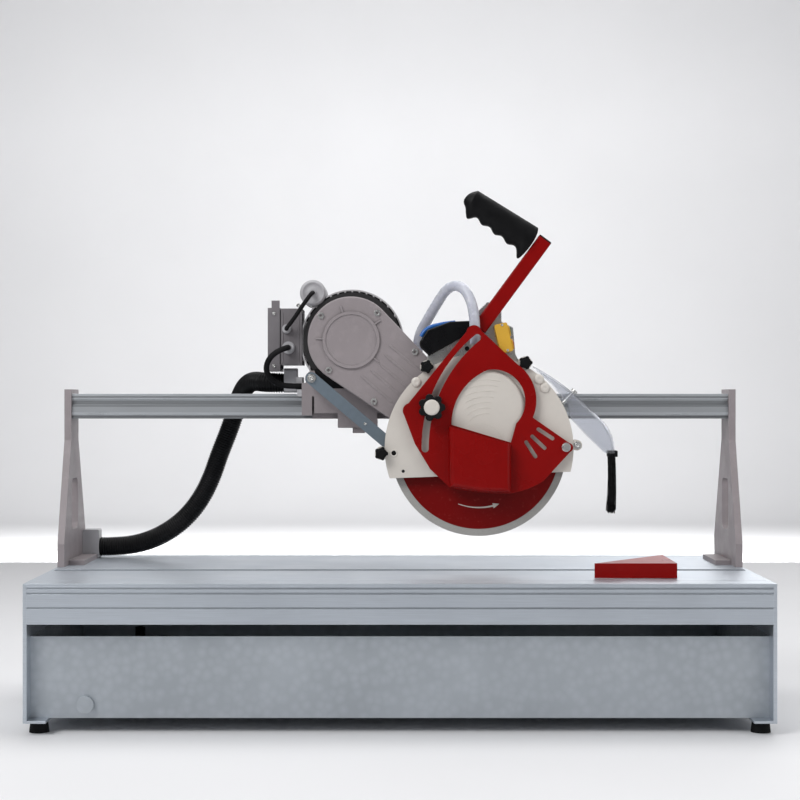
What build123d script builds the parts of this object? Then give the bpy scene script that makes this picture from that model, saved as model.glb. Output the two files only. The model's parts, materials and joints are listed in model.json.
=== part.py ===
"""Bridge-type wet tile saw: bench, rail, carriage, belt-driven blade head with guard and cover.

Units are millimetres.  +Z is up, +X runs along the rail to the right of a person who stands in
front of the saw, and +Y points away from that person.  The origin is at the middle of the floor
under the bench.  The head is drawn raised, with the arm against its upper stop.
"""

import os
from math import cos, pi, radians, sin, tan

from build123d import *

os.makedirs("parts", exist_ok=True)

# ---------------------------------------------------------------- driving dimensions
# bench
TABLE_Z = 240.0
BENCH_HALF_X = 594.0
BENCH_HALF_Y = 260.0
END_PLATE_T = 6.0
FOOT_H = 20.0
TABLE_T = 4.0
SLOT_FRONT_Y = -42.0
SLOT_REAR_Y = -18.0
PROFILE_T = 24.0
PROFILE_H = 60.0
SQUARE_H = 24.0

# rail and its end supports
RAIL_Y = 120.0
RAIL_D = 60.0
RAIL_Z = TABLE_Z + 278.7
RAIL_H = 44.0
SUPPORT_T = 12.0

# blade, arm and motor axes
BLADE_R = 150.0
BLADE_T = 2.8
BLADE_X, BLADE_Y, BLADE_Z = 134.0, -30.0, TABLE_Z + 208.0
ARM_LENGTH = 286.0
ARM_ANGLE = 40.3
MOTOR_X = BLADE_X - ARM_LENGTH * cos(radians(ARM_ANGLE))
MOTOR_Z = BLADE_Z + ARM_LENGTH * sin(radians(ARM_ANGLE))

# belt casing
CASING_FRONT_Y = -2.0
CASING_REAR_Y = 48.0
CASING_MOTOR_R = 75.0
CASING_BLADE_R = 44.0
CASING_WALL = 3.0
SLEEVE_R = 26.0
SLEEVE_FRONT_Y = -16.0
SLEEVE_BACK_Y = 4.0
BELT_Y = 18.0
BELT_W = 16.0
MOTOR_PULLEY_R = 30.0
BLADE_PULLEY_R = 34.0

# carriage
PLATE_FRONT_Y = 49.0
PLATE_REAR_Y = 64.0
CARRIAGE_LEFT = -172.0
CARRIAGE_RIGHT = 4.0
CARRIAGE_BOX = (-109.0, -40.0)
PIVOT_R = 57.0
ROLLER_R = 14.0
ROLLER_OFFSET_X = 71.0
LINK_X = -68.0
LINK_Z = -66.0
LINK_FRONT_Y = -8.0
LINK_T = 6.0
LINK_W = 21.0

# motor
MOTOR_FRONT_Y = 65.0
MOTOR_REAR_Y = 250.0
MOTOR_BODY_R = 86.0
MOTOR_FIN_R = 91.0
MOTOR_FLAT = 87.0
CAPACITOR = (-69.0, 85.0)
CAPACITOR_R = 23.0

# guard and swinging cover
GUARD_R = 160.0
GUARD_FRONT_Y = -50.0
GUARD_BACK_Y = -11.0
GUARD_WALL = 3.0
GUARD_DROP = 45.5
GUARD_TILT = 2.07
COVER_BACK_Y = -60.5
COVER_T = 2.5
COVER_PIVOT = (146.4, 1.9)
GUARD_LUG = (165.6, 5.2)
GUARD_LUG_R = 9.0
FLAP_BOLT_R = 3.0
FLAP_BOLT = (160.0, 93.4)
FLAP_BOLT_ANGLE = 47.0
COVER_SLOT_R = 238.0
POCKET_D = 25.0
STUD_R = 4.0
GUARD_KNOBS = {"guard_knob_left": (-88.8, 138.0), "guard_knob_right": (78.4, 144.8),
               "guard_knob_side": (-165.7, -8.7)}
COVER_KNOB = (-80.9, 69.2)

# handle
HANDLE_W = 25.0
HANDLE_D = 19.0
HANDLE_ANGLE = 53.6
HANDLE_FOOT = (1.7, 203.7)
HANDLE_LENGTH = 188.0
GRIP_LENGTH = 138.0
GRIP_R = 20.0
GRIP_TILT = 4.8
SWITCH_TILT = 13.0
SWITCH_CENTRE = (42.0, 187.0)
SWITCH_W = 22.0
SWITCH_H = 50.0
SWITCH_D = 35.0
BUTTON_R = 7.0
BUTTON_OUT = 4.5
BUTTONS = {"start_button": 10.0, "stop_button": -13.0}

# cords
CONDUIT_R = 17.5
CABLE_R = 5.0
CAPACITOR_LEAD_R = 3.7
HOSE_R = 9.0

# cord routes, from where each leaves one piece to where it meets the next
CONDUIT_ROUTE = [
    (-206, 112, 560.5), (-238, 112, 560.5), (-266, 138, 565), (-286, 176, 550), (-300, 196, 514),
    (-314, 197, 472), (-331, 195, 430), (-345, 197, 388), (-365, 198, 348), (-393, 201, 313),
    (-430, 205, 285), (-472, 210, 267), (-514, 212, 260), (-552, 212, 260),
]
MOTOR_CABLE_ROUTE = [
    (-196, 55, 621.5), (-196, 45, 621.5), (-203, 37, 619), (-216, 34, 613), (-228, 36, 602),
    (-234, 42, 588), (-232, 49, 574), (-223, 56, 563), (-209, 61, 556), (-193, 63, 554),
    (-172, 63, 554),
]
CAPACITOR_LEAD_ROUTE = [
    (-153, 59, 718), (-153, 50, 718), (-157, 45, 713), (-165, 43.5, 702), (-174, 43, 689),
    (-183, 43, 675), (-192, 43.5, 663), (-199, 47, 654.7), (-199, 55, 654.7),
]
HOSE_ROUTE = [
    (127.6, -40, 624), (127.6, -40, 648), (126, -39, 676), (120.5, -35, 701), (110, -24, 720),
    (95.5, -8, 727.5), (80, 12, 721), (67, 32, 702), (49, 52, 672), (31, 68, 640), (31, 68, 614),
]


# ---------------------------------------------------------------- helpers
def facing(x, y, z):
    """Sketch plane that faces the user: local X is +X, local Y is +Z, extruding comes forward."""
    return Plane(origin=(x, y, z), x_dir=(1, 0, 0), z_dir=(0, -1, 0))


def endways(x):
    """Sketch plane across the rail: local X is +Y, local Y is +Z."""
    return Plane(origin=(x, 0, 0), x_dir=(0, 1, 0), z_dir=(1, 0, 0))


def at_blade(y):
    """Sketch plane square to the blade's axis, at that depth (Y), with its origin on the axis."""
    return facing(BLADE_X, y, BLADE_Z)


def at_motor(y):
    """Sketch plane square to the motor's axis, at that depth (Y), with its origin on the axis."""
    return facing(MOTOR_X, y, MOTOR_Z)


def block(x0, x1, y0, y1, z0, z1, mode=Mode.ADD):
    """A box between two corners, in the part's own frame."""
    with Locations(((x0 + x1) / 2, (y0 + y1) / 2, (z0 + z1) / 2)):
        Box(abs(x1 - x0), abs(y1 - y0), abs(z1 - z0), mode=mode)


def disc(plane, radius, depth, mode=Mode.ADD, centre=(0, 0)):
    """A cylinder that rises from a plane; a negative depth goes behind the plane."""
    with BuildSketch(plane) as circle:
        with Locations(centre):
            Circle(radius)
    extrude(circle.sketch, amount=depth, mode=mode)


def finish(builder, label):
    """Name a finished piece and write it."""
    builder.part.label = label
    export_step(builder.part, f"parts/{label}.step")


# ---------------------------------------------------------------- bench
def long_profiles():
    """Front and rear aluminium profiles, grooved along their outer faces."""
    top = TABLE_Z - TABLE_T
    inner_x = BENCH_HALF_X - END_PLATE_T
    with BuildPart() as profiles:
        for side in (-1, 1):
            outer, inner = side * BENCH_HALF_Y, side * (BENCH_HALF_Y - PROFILE_T)
            block(-inner_x, inner_x, outer, inner, top - PROFILE_H, top)
            for groove_z in (top - 3, top - 11, top - 34):
                block(-inner_x, inner_x, outer, outer - side * 2.5, groove_z - 1.5, groove_z + 1.5,
                      Mode.SUBTRACT)
            hollow = side * (BENCH_HALF_Y - 5)
            block(-inner_x, inner_x, hollow, inner + side * 3, top - PROFILE_H + 4, top - 18,
                  Mode.SUBTRACT)
    finish(profiles, "long_profiles")


def end_plates():
    """Two end plates, each with a foot flange that the tank rests on."""
    with BuildPart() as plates:
        for side in (-1, 1):
            outer, inner = side * BENCH_HALF_X, side * (BENCH_HALF_X - END_PLATE_T)
            block(outer, inner, -BENCH_HALF_Y, BENCH_HALF_Y, FOOT_H, TABLE_Z)
            block(inner, inner - side * 30, -BENCH_HALF_Y, BENCH_HALF_Y, FOOT_H, FOOT_H + 4)
            with BuildSketch(endways(outer)):
                with Locations((0, 198)):
                    SlotOverall(130, 34)
            extrude(amount=-side * END_PLATE_T, mode=Mode.SUBTRACT)
    finish(plates, "end_plates")


def cross_bearers():
    """Three bearers under the table, notched for the blade's slot."""
    inner_y = BENCH_HALF_Y - PROFILE_T
    top = TABLE_Z - TABLE_T
    with BuildPart() as bearers:
        for x in (-400, 0, 400):
            block(x - 15, x + 15, -inner_y, inner_y, top - 40, top)
            block(x - 15, x + 15, SLOT_FRONT_Y - 8, SLOT_REAR_Y + 8, top - 20, top, Mode.SUBTRACT)
            block(x - 12, x + 12, -inner_y, inner_y, top - 40, top - 24, Mode.SUBTRACT)
    finish(bearers, "cross_bearers")


def table_plates():
    """Two table plates with the cutting slot between them."""
    half_x = BENCH_HALF_X - END_PLATE_T
    with BuildPart() as plates:
        for near, far in ((-BENCH_HALF_Y, SLOT_FRONT_Y), (SLOT_REAR_Y, BENCH_HALF_Y)):
            block(-half_x, half_x, near, far, TABLE_Z - TABLE_T, TABLE_Z)
        for groove_y in (-BENCH_HALF_Y + 8, -BENCH_HALF_Y + 52, BENCH_HALF_Y - 30):
            block(-half_x, half_x, groove_y - 1, groove_y + 1, TABLE_Z - 1, TABLE_Z, Mode.SUBTRACT)
    finish(plates, "table_plates")


def water_tank():
    """Open sheet-metal tank under the table, resting on the end plates' flanges."""
    half_x = BENCH_HALF_X - END_PLATE_T
    half_y = BENCH_HALF_Y - PROFILE_T - 4
    floor = FOOT_H + 4
    with BuildPart() as tank:
        block(-half_x, half_x, -half_y, half_y, floor, floor + 130)
        block(-half_x + 2, half_x - 2, -half_y + 2, half_y - 2, floor + 2, floor + 130, Mode.SUBTRACT)
        with BuildSketch(facing(-500, -half_y, floor + 22)):
            Circle(14)
        extrude(amount=8)
    finish(tank, "water_tank")


def water_pump():
    """Submersible pump on the tank floor, with its outlet nozzle."""
    floor = FOOT_H + 6
    with BuildPart() as pump:
        block(-500, -410, 120, 190, floor, floor + 12)
        with BuildSketch(Plane.XY.offset(floor + 12)):
            with Locations((-455, 155)):
                RectangleRounded(78, 58, 14)
        extrude(amount=62)
        with BuildSketch(Plane.XY.offset(floor + 74)):
            with Locations((-470, 155)):
                Circle(9)
                Circle(6, mode=Mode.SUBTRACT)
        extrude(amount=20)
    finish(pump, "water_pump")


def rubber_feet():
    """Four feet under the end plates."""
    with BuildPart() as feet:
        with BuildSketch(Plane.XY):
            with GridLocations(2 * (BENCH_HALF_X - 18), 2 * (BENCH_HALF_Y - 40), 2, 2):
                Circle(16)
        extrude(amount=FOOT_H, taper=6)
    finish(feet, "rubber_feet")


# ---------------------------------------------------------------- rail
def rail():
    """Guide rail with a grooved front face and a hollow core."""
    half_x = BENCH_HALF_X - SUPPORT_T
    front, back = RAIL_Y - RAIL_D / 2, RAIL_Y + RAIL_D / 2
    low, high = RAIL_Z - RAIL_H / 2, RAIL_Z + RAIL_H / 2
    with BuildPart() as beam:
        block(-half_x, half_x, front, back, low, high)
        block(-half_x, half_x, front, front + 5, high - 19, high - 9, Mode.SUBTRACT)
        block(-half_x, half_x, front, front + 1.5, high - 6, high - 4.5, Mode.SUBTRACT)
        block(-half_x, half_x, front, front + 3, low + 3, low + 7, Mode.SUBTRACT)
        for x_side in (-1, 1):
            middle = RAIL_Y + x_side * 13
            block(-half_x, half_x, middle - 10, middle + 10, low + 10, high - 6, Mode.SUBTRACT)
    finish(beam, "rail")


def rail_supports():
    """Two cast end supports that stand on the table's ends and carry the rail."""
    top = RAIL_Z + RAIL_H / 2 + 8
    near, far = RAIL_Y - 36, RAIL_Y + 36
    with BuildPart() as supports:
        for side in (-1, 1):
            outer = side * BENCH_HALF_X
            inner = outer - side * SUPPORT_T
            with BuildSketch(endways(outer)):
                with BuildLine():
                    Polyline((20, TABLE_Z), (230, TABLE_Z), (230, TABLE_Z + 40), (far, RAIL_Z - 60),
                             (far, top), (near, top), (near, RAIL_Z - 60), (20, TABLE_Z + 40), close=True)
                make_face()
                with Locations((RAIL_Y, TABLE_Z + 105)):
                    RectangleRounded(58, 90, 12, mode=Mode.SUBTRACT)
            extrude(amount=-side * SUPPORT_T)
            block(inner, inner - side * 28, 60, 190, TABLE_Z, TABLE_Z + 8)
    finish(supports, "rail_supports")


def junction_box():
    """Box on the left support, where the conduit ends."""
    inner = -BENCH_HALF_X + SUPPORT_T
    with BuildPart() as box:
        block(inner, inner + 30, 196, 228, TABLE_Z, TABLE_Z + 52)
        fillet(box.edges().filter_by(Axis.Y), 3)
    finish(box, "junction_box")


# ---------------------------------------------------------------- carriage
def carriage_body():
    """Carriage: front plate with the pivot ring, and the block that runs in front of the rail."""
    low, high = RAIL_Z - RAIL_H / 2, RAIL_Z + RAIL_H / 2
    motor = at_motor(PLATE_REAR_Y)
    left, right = CARRIAGE_LEFT - MOTOR_X, CARRIAGE_RIGHT - MOTOR_X
    box_left, box_right = CARRIAGE_BOX[0] - MOTOR_X, CARRIAGE_BOX[1] - MOTOR_X
    hem, foot = low + 10 - MOTOR_Z, low - 15 - MOTOR_Z
    with BuildPart() as body:
        with BuildSketch(motor):
            Circle(72)
            with BuildLine():
                Polyline((-58, -30), (left + 22, high + 3 - MOTOR_Z), (left + 22, hem),
                         (box_left, hem), (box_left, foot), (box_right, foot), (box_right, hem),
                         (right, hem), (right, high + 3 - MOTOR_Z), (58, -30), close=True)
            make_face()
            with Locations((LINK_X, LINK_Z)):
                Circle(14)
            with Locations((-40, -80)):
                Rectangle(70, 34)
            Circle(PIVOT_R + 3, mode=Mode.SUBTRACT)
        extrude(amount=PLATE_REAR_Y - PLATE_FRONT_Y)
        block(CARRIAGE_LEFT, CARRIAGE_LEFT + 18, PLATE_FRONT_Y, 88, low + 6, low + 63)
        block(CARRIAGE_LEFT + 18, CARRIAGE_RIGHT, PLATE_REAR_Y, 88, low, high)
        block(*CARRIAGE_BOX, PLATE_REAR_Y, 140, low - 16, low - 2)
        block(-83, -62, PLATE_REAR_Y - 10, 120, low - 25, low - 14)
        for x in (MOTOR_X - ROLLER_OFFSET_X, MOTOR_X + ROLLER_OFFSET_X):
            roller_z = high + ROLLER_R + 0.3
            block(x - 9, x + 9, PLATE_FRONT_Y + 10, 90, high - 20, roller_z + 5)
            disc(facing(x, 96, roller_z), 5, 96 - PLATE_FRONT_Y - 10, Mode.SUBTRACT)
        disc(at_motor(PLATE_REAR_Y), 6, 20, Mode.SUBTRACT, (LINK_X, LINK_Z))
    finish(body, "carriage_body")


def carriage_axles():
    """Two shouldered pins on which the carriage's rollers turn."""
    with BuildPart() as axles:
        for x in (MOTOR_X - ROLLER_OFFSET_X, MOTOR_X + ROLLER_OFFSET_X):
            roller_z = RAIL_Z + RAIL_H / 2 + ROLLER_R + 0.3
            disc(facing(x, 150, roller_z), 5, 150 - PLATE_FRONT_Y - 10)
            disc(facing(x, 154, roller_z), 8, 4)
    finish(axles, "carriage_axles")


def carriage_rollers():
    """Left and right rollers that run on top of the rail."""
    for label, side in (("roller_left", -1), ("roller_right", 1)):
        x = MOTOR_X + side * ROLLER_OFFSET_X
        roller_z = RAIL_Z + RAIL_H / 2 + ROLLER_R + 0.3
        with BuildPart() as roller:
            with BuildSketch(facing(x, 148, roller_z)):
                Circle(ROLLER_R)
                Circle(5.3, mode=Mode.SUBTRACT)
            extrude(amount=54)
            chamfer(roller.edges().filter_by(GeomType.CIRCLE).sort_by(SortBy.RADIUS)[-2:], 1)
        finish(roller, label)


def pivot_bush():
    """Plain bush between the carriage's ring and the motor's spigot."""
    with BuildPart() as bush:
        with BuildSketch(at_motor(PLATE_REAR_Y)):
            Circle(PIVOT_R + 3)
            Circle(PIVOT_R + 0.3, mode=Mode.SUBTRACT)
        extrude(amount=PLATE_REAR_Y - PLATE_FRONT_Y)
    finish(bush, "pivot_bush")


def conduit_clamp():
    """Saddle on the carriage's left end that holds the conduit."""
    with BuildPart() as clamp:
        block(-206, -183, 92, 132, TABLE_Z + 303, TABLE_Z + 346)
        fillet(clamp.edges().filter_by(Axis.X), 6)
        block(-183, -172, 70, 124, TABLE_Z + 305, TABLE_Z + 330)
        block(-180, -172, 50, 88, TABLE_Z + 296, TABLE_Z + 308)
    finish(clamp, "conduit_clamp")


def link_pin():
    """Pin that stands forward from the carriage and carries the levelling link."""
    with BuildPart() as pin:
        disc(at_motor(PLATE_REAR_Y), 6, PLATE_REAR_Y - LINK_FRONT_Y + 4, centre=(LINK_X, LINK_Z))
        disc(at_motor(PLATE_FRONT_Y), 9, PLATE_FRONT_Y - LINK_FRONT_Y - LINK_T - 0.5,
             centre=(LINK_X, LINK_Z))
        disc(at_motor(LINK_FRONT_Y - 0.5), 7.5, 2.5, centre=(LINK_X, LINK_Z))
    finish(pin, "link_pin")


def link_bar():
    """Flat bar that keeps the guard level; its lower eye has running clearance."""
    run = (cos(radians(ARM_ANGLE)), -sin(radians(ARM_ANGLE)))
    middle = (LINK_X + run[0] * ARM_LENGTH / 2, LINK_Z + run[1] * ARM_LENGTH / 2)
    with BuildPart() as bar:
        with BuildSketch(at_motor(LINK_FRONT_Y + LINK_T)):
            with Locations(Location((middle[0], middle[1], 0), (0, 0, -ARM_ANGLE))):
                SlotCenterToCenter(ARM_LENGTH, LINK_W)
                with Locations((-ARM_LENGTH / 2, 0)):
                    Circle(6.3, mode=Mode.SUBTRACT)
                with Locations((ARM_LENGTH / 2, 0)):
                    Circle(6.5, mode=Mode.SUBTRACT)
        extrude(amount=LINK_T)
    finish(bar, "link_bar")


# ---------------------------------------------------------------- arm and drive
def arm_outline(motor_r, blade_r):
    """Tangent outline round the motor's and the blade's axes, drawn about the motor's axis."""
    with Locations((0, 0)):
        Circle(motor_r)
    with Locations((BLADE_X - MOTOR_X, BLADE_Z - MOTOR_Z)):
        Circle(blade_r)
    make_hull()


def arm_casing():
    """Cast belt casing, open at the back, with the sleeve that carries the guard."""
    rib_run = (cos(radians(ARM_ANGLE)), -sin(radians(ARM_ANGLE)))
    side_run = (sin(radians(ARM_ANGLE)), cos(radians(ARM_ANGLE)))
    with BuildPart() as casing:
        with BuildSketch(at_motor(CASING_REAR_Y - CASING_WALL)):
            arm_outline(CASING_MOTOR_R, CASING_BLADE_R)
        extrude(amount=CASING_REAR_Y - CASING_WALL - CASING_FRONT_Y)
        fillet(casing.faces().sort_by(Axis.Y)[0].edges(), 2.5)
        with BuildSketch(at_motor(CASING_REAR_Y - CASING_WALL)):
            arm_outline(CASING_MOTOR_R - 4, CASING_BLADE_R - 4)
        extrude(amount=CASING_REAR_Y - 2 * CASING_WALL - CASING_FRONT_Y, mode=Mode.SUBTRACT)
        with BuildSketch(at_motor(CASING_FRONT_Y)):
            Circle(49)
        extrude(amount=2.5)
        with BuildSketch(at_motor(CASING_FRONT_Y - 2.5)):
            Circle(49)
            Circle(44, mode=Mode.SUBTRACT)
        extrude(amount=1.5)
        for angle in (107, 34, -38.5, 177.6):
            with BuildSketch(at_motor(CASING_FRONT_Y)):
                with Locations(Location((0, 0, 0), (0, 0, angle))):
                    with Locations((54, 0)):
                        Rectangle(14, 2.5)
            extrude(amount=2.5)
        for row, (start, length) in enumerate(((56, 86), (61, 90), (67, 84), (62, 78), (52, 70))):
            across = 36 - 18 * row
            middle = start + length / 2
            x = rib_run[0] * middle + side_run[0] * across
            z = rib_run[1] * middle + side_run[1] * across
            with BuildSketch(at_motor(CASING_FRONT_Y)):
                with Locations(Location((x, z, 0), (0, 0, -ARM_ANGLE))):
                    SlotOverall(length, 3)
            extrude(amount=1.2)
        disc(at_blade(SLEEVE_BACK_Y), SLEEVE_R, SLEEVE_BACK_Y - SLEEVE_FRONT_Y)
        disc(at_blade(SLEEVE_BACK_Y), 21, SLEEVE_BACK_Y - SLEEVE_FRONT_Y - 2, Mode.SUBTRACT)
        disc(at_blade(SLEEVE_BACK_Y), 14, SLEEVE_BACK_Y - SLEEVE_FRONT_Y, Mode.SUBTRACT)
    finish(casing, "arm_casing")


def casing_back():
    """Back plate of the casing: the motor's spigot, the rear bearing seat and the hose's barb."""
    end_x, end_y, end_z = HOSE_ROUTE[-1]
    with BuildPart() as back:
        with BuildSketch(at_motor(CASING_REAR_Y)):
            arm_outline(CASING_MOTOR_R, CASING_BLADE_R)
        extrude(amount=CASING_WALL)
        disc(at_motor(MOTOR_FRONT_Y), PIVOT_R, MOTOR_FRONT_Y - CASING_REAR_Y)
        disc(at_motor(MOTOR_FRONT_Y), 20, 30, Mode.SUBTRACT)
        disc(at_blade(CASING_REAR_Y - CASING_WALL), 25, 9)
        disc(at_blade(CASING_REAR_Y - CASING_WALL), 21, 9, Mode.SUBTRACT)
        block(end_x - 9, end_x + 9, CASING_REAR_Y, end_y + 9, end_z - 16, end_z - 6)
        with BuildSketch(Plane.XY.offset(end_z - 6)):
            with Locations((end_x, end_y)):
                Circle(6.5)
        extrude(amount=6)
    finish(back, "casing_back")


def casing_screws():
    """Six screws that close the casing."""
    places = ((-52, 42), (45, 46.5), (-38.5, -52), (110, -20.5), (39, -106), (243, -160))
    with BuildPart() as screws:
        with BuildSketch(at_motor(CASING_FRONT_Y)):
            with Locations(*places):
                RegularPolygon(6, 6)
                Circle(2.5, mode=Mode.SUBTRACT)
        extrude(amount=3)
    finish(screws, "casing_screws")


def bearings():
    """Ball bearings of the blade's spindle and of the motor's shaft, drawn as plain rings."""
    seats = ((at_blade(2), 21, 10.3, 12), (at_blade(CASING_REAR_Y - CASING_WALL), 21, 10.3, 9),
             (at_motor(MOTOR_FRONT_Y + 8), 17.5, 12.3, 8), (at_motor(MOTOR_REAR_Y - 40), 17.5, 12.3, 8))
    with BuildPart() as rings:
        for plane, outer, inner, depth in seats:
            with BuildSketch(plane):
                Circle(outer)
                Circle(inner, mode=Mode.SUBTRACT)
            extrude(amount=depth)
    finish(rings, "bearings")


def drive_belt():
    """Flat belt round both pulleys."""
    with BuildPart() as belt:
        with BuildSketch(at_motor(BELT_Y + BELT_W / 2)):
            arm_outline(MOTOR_PULLEY_R + 3.5, BLADE_PULLEY_R + 3.5)
        extrude(amount=BELT_W)
        with BuildSketch(at_motor(BELT_Y + BELT_W / 2)):
            arm_outline(MOTOR_PULLEY_R + 0.4, BLADE_PULLEY_R + 0.4)
        extrude(amount=BELT_W, mode=Mode.SUBTRACT)
    finish(belt, "drive_belt")


def pulley(plane, radius, bore, label):
    """A flanged pulley."""
    with BuildPart() as wheel:
        with BuildSketch(plane):
            Circle(radius)
            Circle(bore, mode=Mode.SUBTRACT)
        extrude(amount=BELT_W + 2)
        with BuildSketch(plane):
            Circle(radius + 2)
            Circle(bore, mode=Mode.SUBTRACT)
        extrude(amount=-2.5)
    finish(wheel, label)


def motor_clearances():
    """Cuts from a fin or ring sketch what the terminal box and the capacitor take up."""
    with Locations((-MOTOR_FLAT, 0)):
        Rectangle(40, 2 * MOTOR_FIN_R, align=(Align.MAX, Align.CENTER), mode=Mode.SUBTRACT)
    with Locations(CAPACITOR):
        Circle(CAPACITOR_R + 1.5, mode=Mode.SUBTRACT)


def motor_housing():
    """Finned motor housing with a front ring round the fins."""
    rear = MOTOR_REAR_Y - 40
    with BuildPart() as housing:
        disc(at_motor(rear), MOTOR_BODY_R, rear - MOTOR_FRONT_Y)
        with BuildSketch(at_motor(rear)):
            Circle(MOTOR_FIN_R)
            for step in range(-8, 8):
                with Locations((step * 12.5 + 6.25, 0)):
                    Rectangle(10, 2 * MOTOR_FIN_R, mode=Mode.SUBTRACT)
            motor_clearances()
        extrude(amount=rear - MOTOR_FRONT_Y)
        with BuildSketch(at_motor(MOTOR_FRONT_Y + 4)):
            Circle(MOTOR_FIN_R)
            Circle(MOTOR_FIN_R - 2.5, mode=Mode.SUBTRACT)
            motor_clearances()
        extrude(amount=4)
        block(-172.4, MOTOR_X - 70, 75, 145, MOTOR_Z - 35, MOTOR_Z + 35)
        disc(at_motor(rear - 8), MOTOR_BODY_R - 6, rear - MOTOR_FRONT_Y - 16, Mode.SUBTRACT)
        disc(at_motor(rear), 17.5, rear - MOTOR_FRONT_Y, Mode.SUBTRACT)
    finish(housing, "motor_housing")


def motor_stator():
    """Wound stator inside the housing."""
    with BuildPart() as stator:
        with BuildSketch(at_motor(175)):
            Circle(MOTOR_BODY_R - 6)
            Circle(42, mode=Mode.SUBTRACT)
        extrude(amount=80)
    finish(stator, "motor_stator")


def motor_rotor():
    """Motor shaft with its rotor, and the fan on its rear end."""
    fan_y = MOTOR_REAR_Y - 14
    with BuildPart() as rotor:
        disc(at_motor(fan_y), 12, fan_y - 4)
        disc(at_motor(173), 41, 76)
        disc(at_motor(fan_y), 66, 3)
        with BuildSketch(at_motor(fan_y - 3)):
            with PolarLocations(45, 8):
                Rectangle(40, 3)
        extrude(amount=14)
    finish(rotor, "motor_rotor")


def fan_cowl():
    """Fan cowl with air holes in its back."""
    with BuildPart() as cowl:
        disc(at_motor(MOTOR_REAR_Y), MOTOR_FIN_R, 40)
        fillet(cowl.faces().sort_by(Axis.Y)[-1].edges(), 8)
        disc(at_motor(MOTOR_REAR_Y - 3), MOTOR_FIN_R - 3, 37, Mode.SUBTRACT)
        with BuildSketch(at_motor(MOTOR_REAR_Y)):
            for radius, count in ((22, 8), (38, 12), (54, 18)):
                with PolarLocations(radius, count):
                    Circle(4.5)
        extrude(amount=3, mode=Mode.SUBTRACT)
    finish(cowl, "fan_cowl")


def terminal_box():
    """Terminal box on the left of the motor, and its lid with a mounting ear."""
    front, rear = MOTOR_FRONT_Y, 155.0
    low, high = TABLE_Z + 351.7, TABLE_Z + 450.7
    with BuildPart() as box:
        block(-210.6, -172.4, front, rear, low, high)
        block(-207.6, -175, front + 3, rear - 3, low + 3, high - 3, Mode.SUBTRACT)
        block(-210.6, -207, front + 3, rear - 3, low + 3, high - 3, Mode.SUBTRACT)
    finish(box, "terminal_box")
    with BuildPart() as lid:
        block(-232.7, -210.6, front, rear, low - 11, high + 1)
        block(-228, -210.6, front + 3, rear - 3, low - 6, high - 4, Mode.SUBTRACT)
        block(-226, -212, front, front + 8, high + 1, high + 14)
    finish(lid, "terminal_lid")


def cable_glands():
    """Two glands on the front of the terminal box, and the lead-in boss of the capacitor."""
    with BuildPart() as glands:
        for x, z, radius, bore in ((-199, TABLE_Z + 414.7, 8, CAPACITOR_LEAD_R),
                                   (-196, TABLE_Z + 381.5, 11, CABLE_R)):
            with BuildSketch(facing(x, MOTOR_FRONT_Y, z)):
                Circle(radius)
            extrude(amount=6)
            with BuildSketch(facing(x, MOTOR_FRONT_Y - 6, z)):
                Circle(radius - 1.5)
            extrude(amount=4)
    finish(glands, "cable_glands")


def capacitor():
    """Run capacitor with its rounded end cap, carried on the motor's upper left."""
    with BuildPart() as can:
        disc(at_motor(155), CAPACITOR_R, 93, centre=CAPACITOR)
        fillet(can.faces().sort_by(Axis.Y)[0].edges(), 3)
        disc(at_motor(62), 6, 3, centre=CAPACITOR)
        with BuildSketch(at_motor(150)):
            with Locations(Location((-59, 73, 0), (0, 0, -51))):
                Rectangle(20, 22)
            with Locations(CAPACITOR):
                Circle(CAPACITOR_R - 1, mode=Mode.SUBTRACT)
            Circle(MOTOR_FIN_R, mode=Mode.SUBTRACT)
        extrude(amount=80)
    finish(can, "capacitor")


# ---------------------------------------------------------------- blade group
def blade_spindle():
    """Plain round spindle that the blade sits on."""
    with BuildPart() as spindle:
        disc(at_blade(CASING_REAR_Y - CASING_WALL - 1), 10, 89)
    finish(spindle, "blade_spindle")


def blade_flanges():
    """Rear and front flanges that clamp the blade."""
    back = BLADE_Y + BLADE_T / 2
    with BuildPart() as flanges:
        for plane, depth in ((at_blade(back), -5), (at_blade(back - BLADE_T), 4)):
            with BuildSketch(plane):
                Circle(36)
                Circle(10, mode=Mode.SUBTRACT)
            extrude(amount=depth)
    finish(flanges, "blade_flanges")


def arbor_nut():
    """Hexagon nut that holds the blade."""
    with BuildPart() as nut:
        with BuildSketch(at_blade(BLADE_Y - BLADE_T / 2 - 4)):
            RegularPolygon(16, 6)
            Circle(10, mode=Mode.SUBTRACT)
        extrude(amount=7)
    finish(nut, "arbor_nut")


def saw_blade():
    """Continuous-rim diamond blade: a thinner core and a full-width rim."""
    rim_inner = BLADE_R - 11.7
    with BuildPart() as blade:
        with BuildSketch(at_blade(BLADE_Y + BLADE_T / 2)):
            Circle(BLADE_R)
            Circle(10, mode=Mode.SUBTRACT)
        extrude(amount=BLADE_T)
        for face_y, depth in ((BLADE_Y + BLADE_T / 2, 0.3), (BLADE_Y - BLADE_T / 2, -0.3)):
            with BuildSketch(at_blade(face_y)):
                Circle(rim_inner)
                Circle(36, mode=Mode.SUBTRACT)
            extrude(amount=depth, mode=Mode.SUBTRACT)
    finish(blade, "saw_blade")


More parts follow.
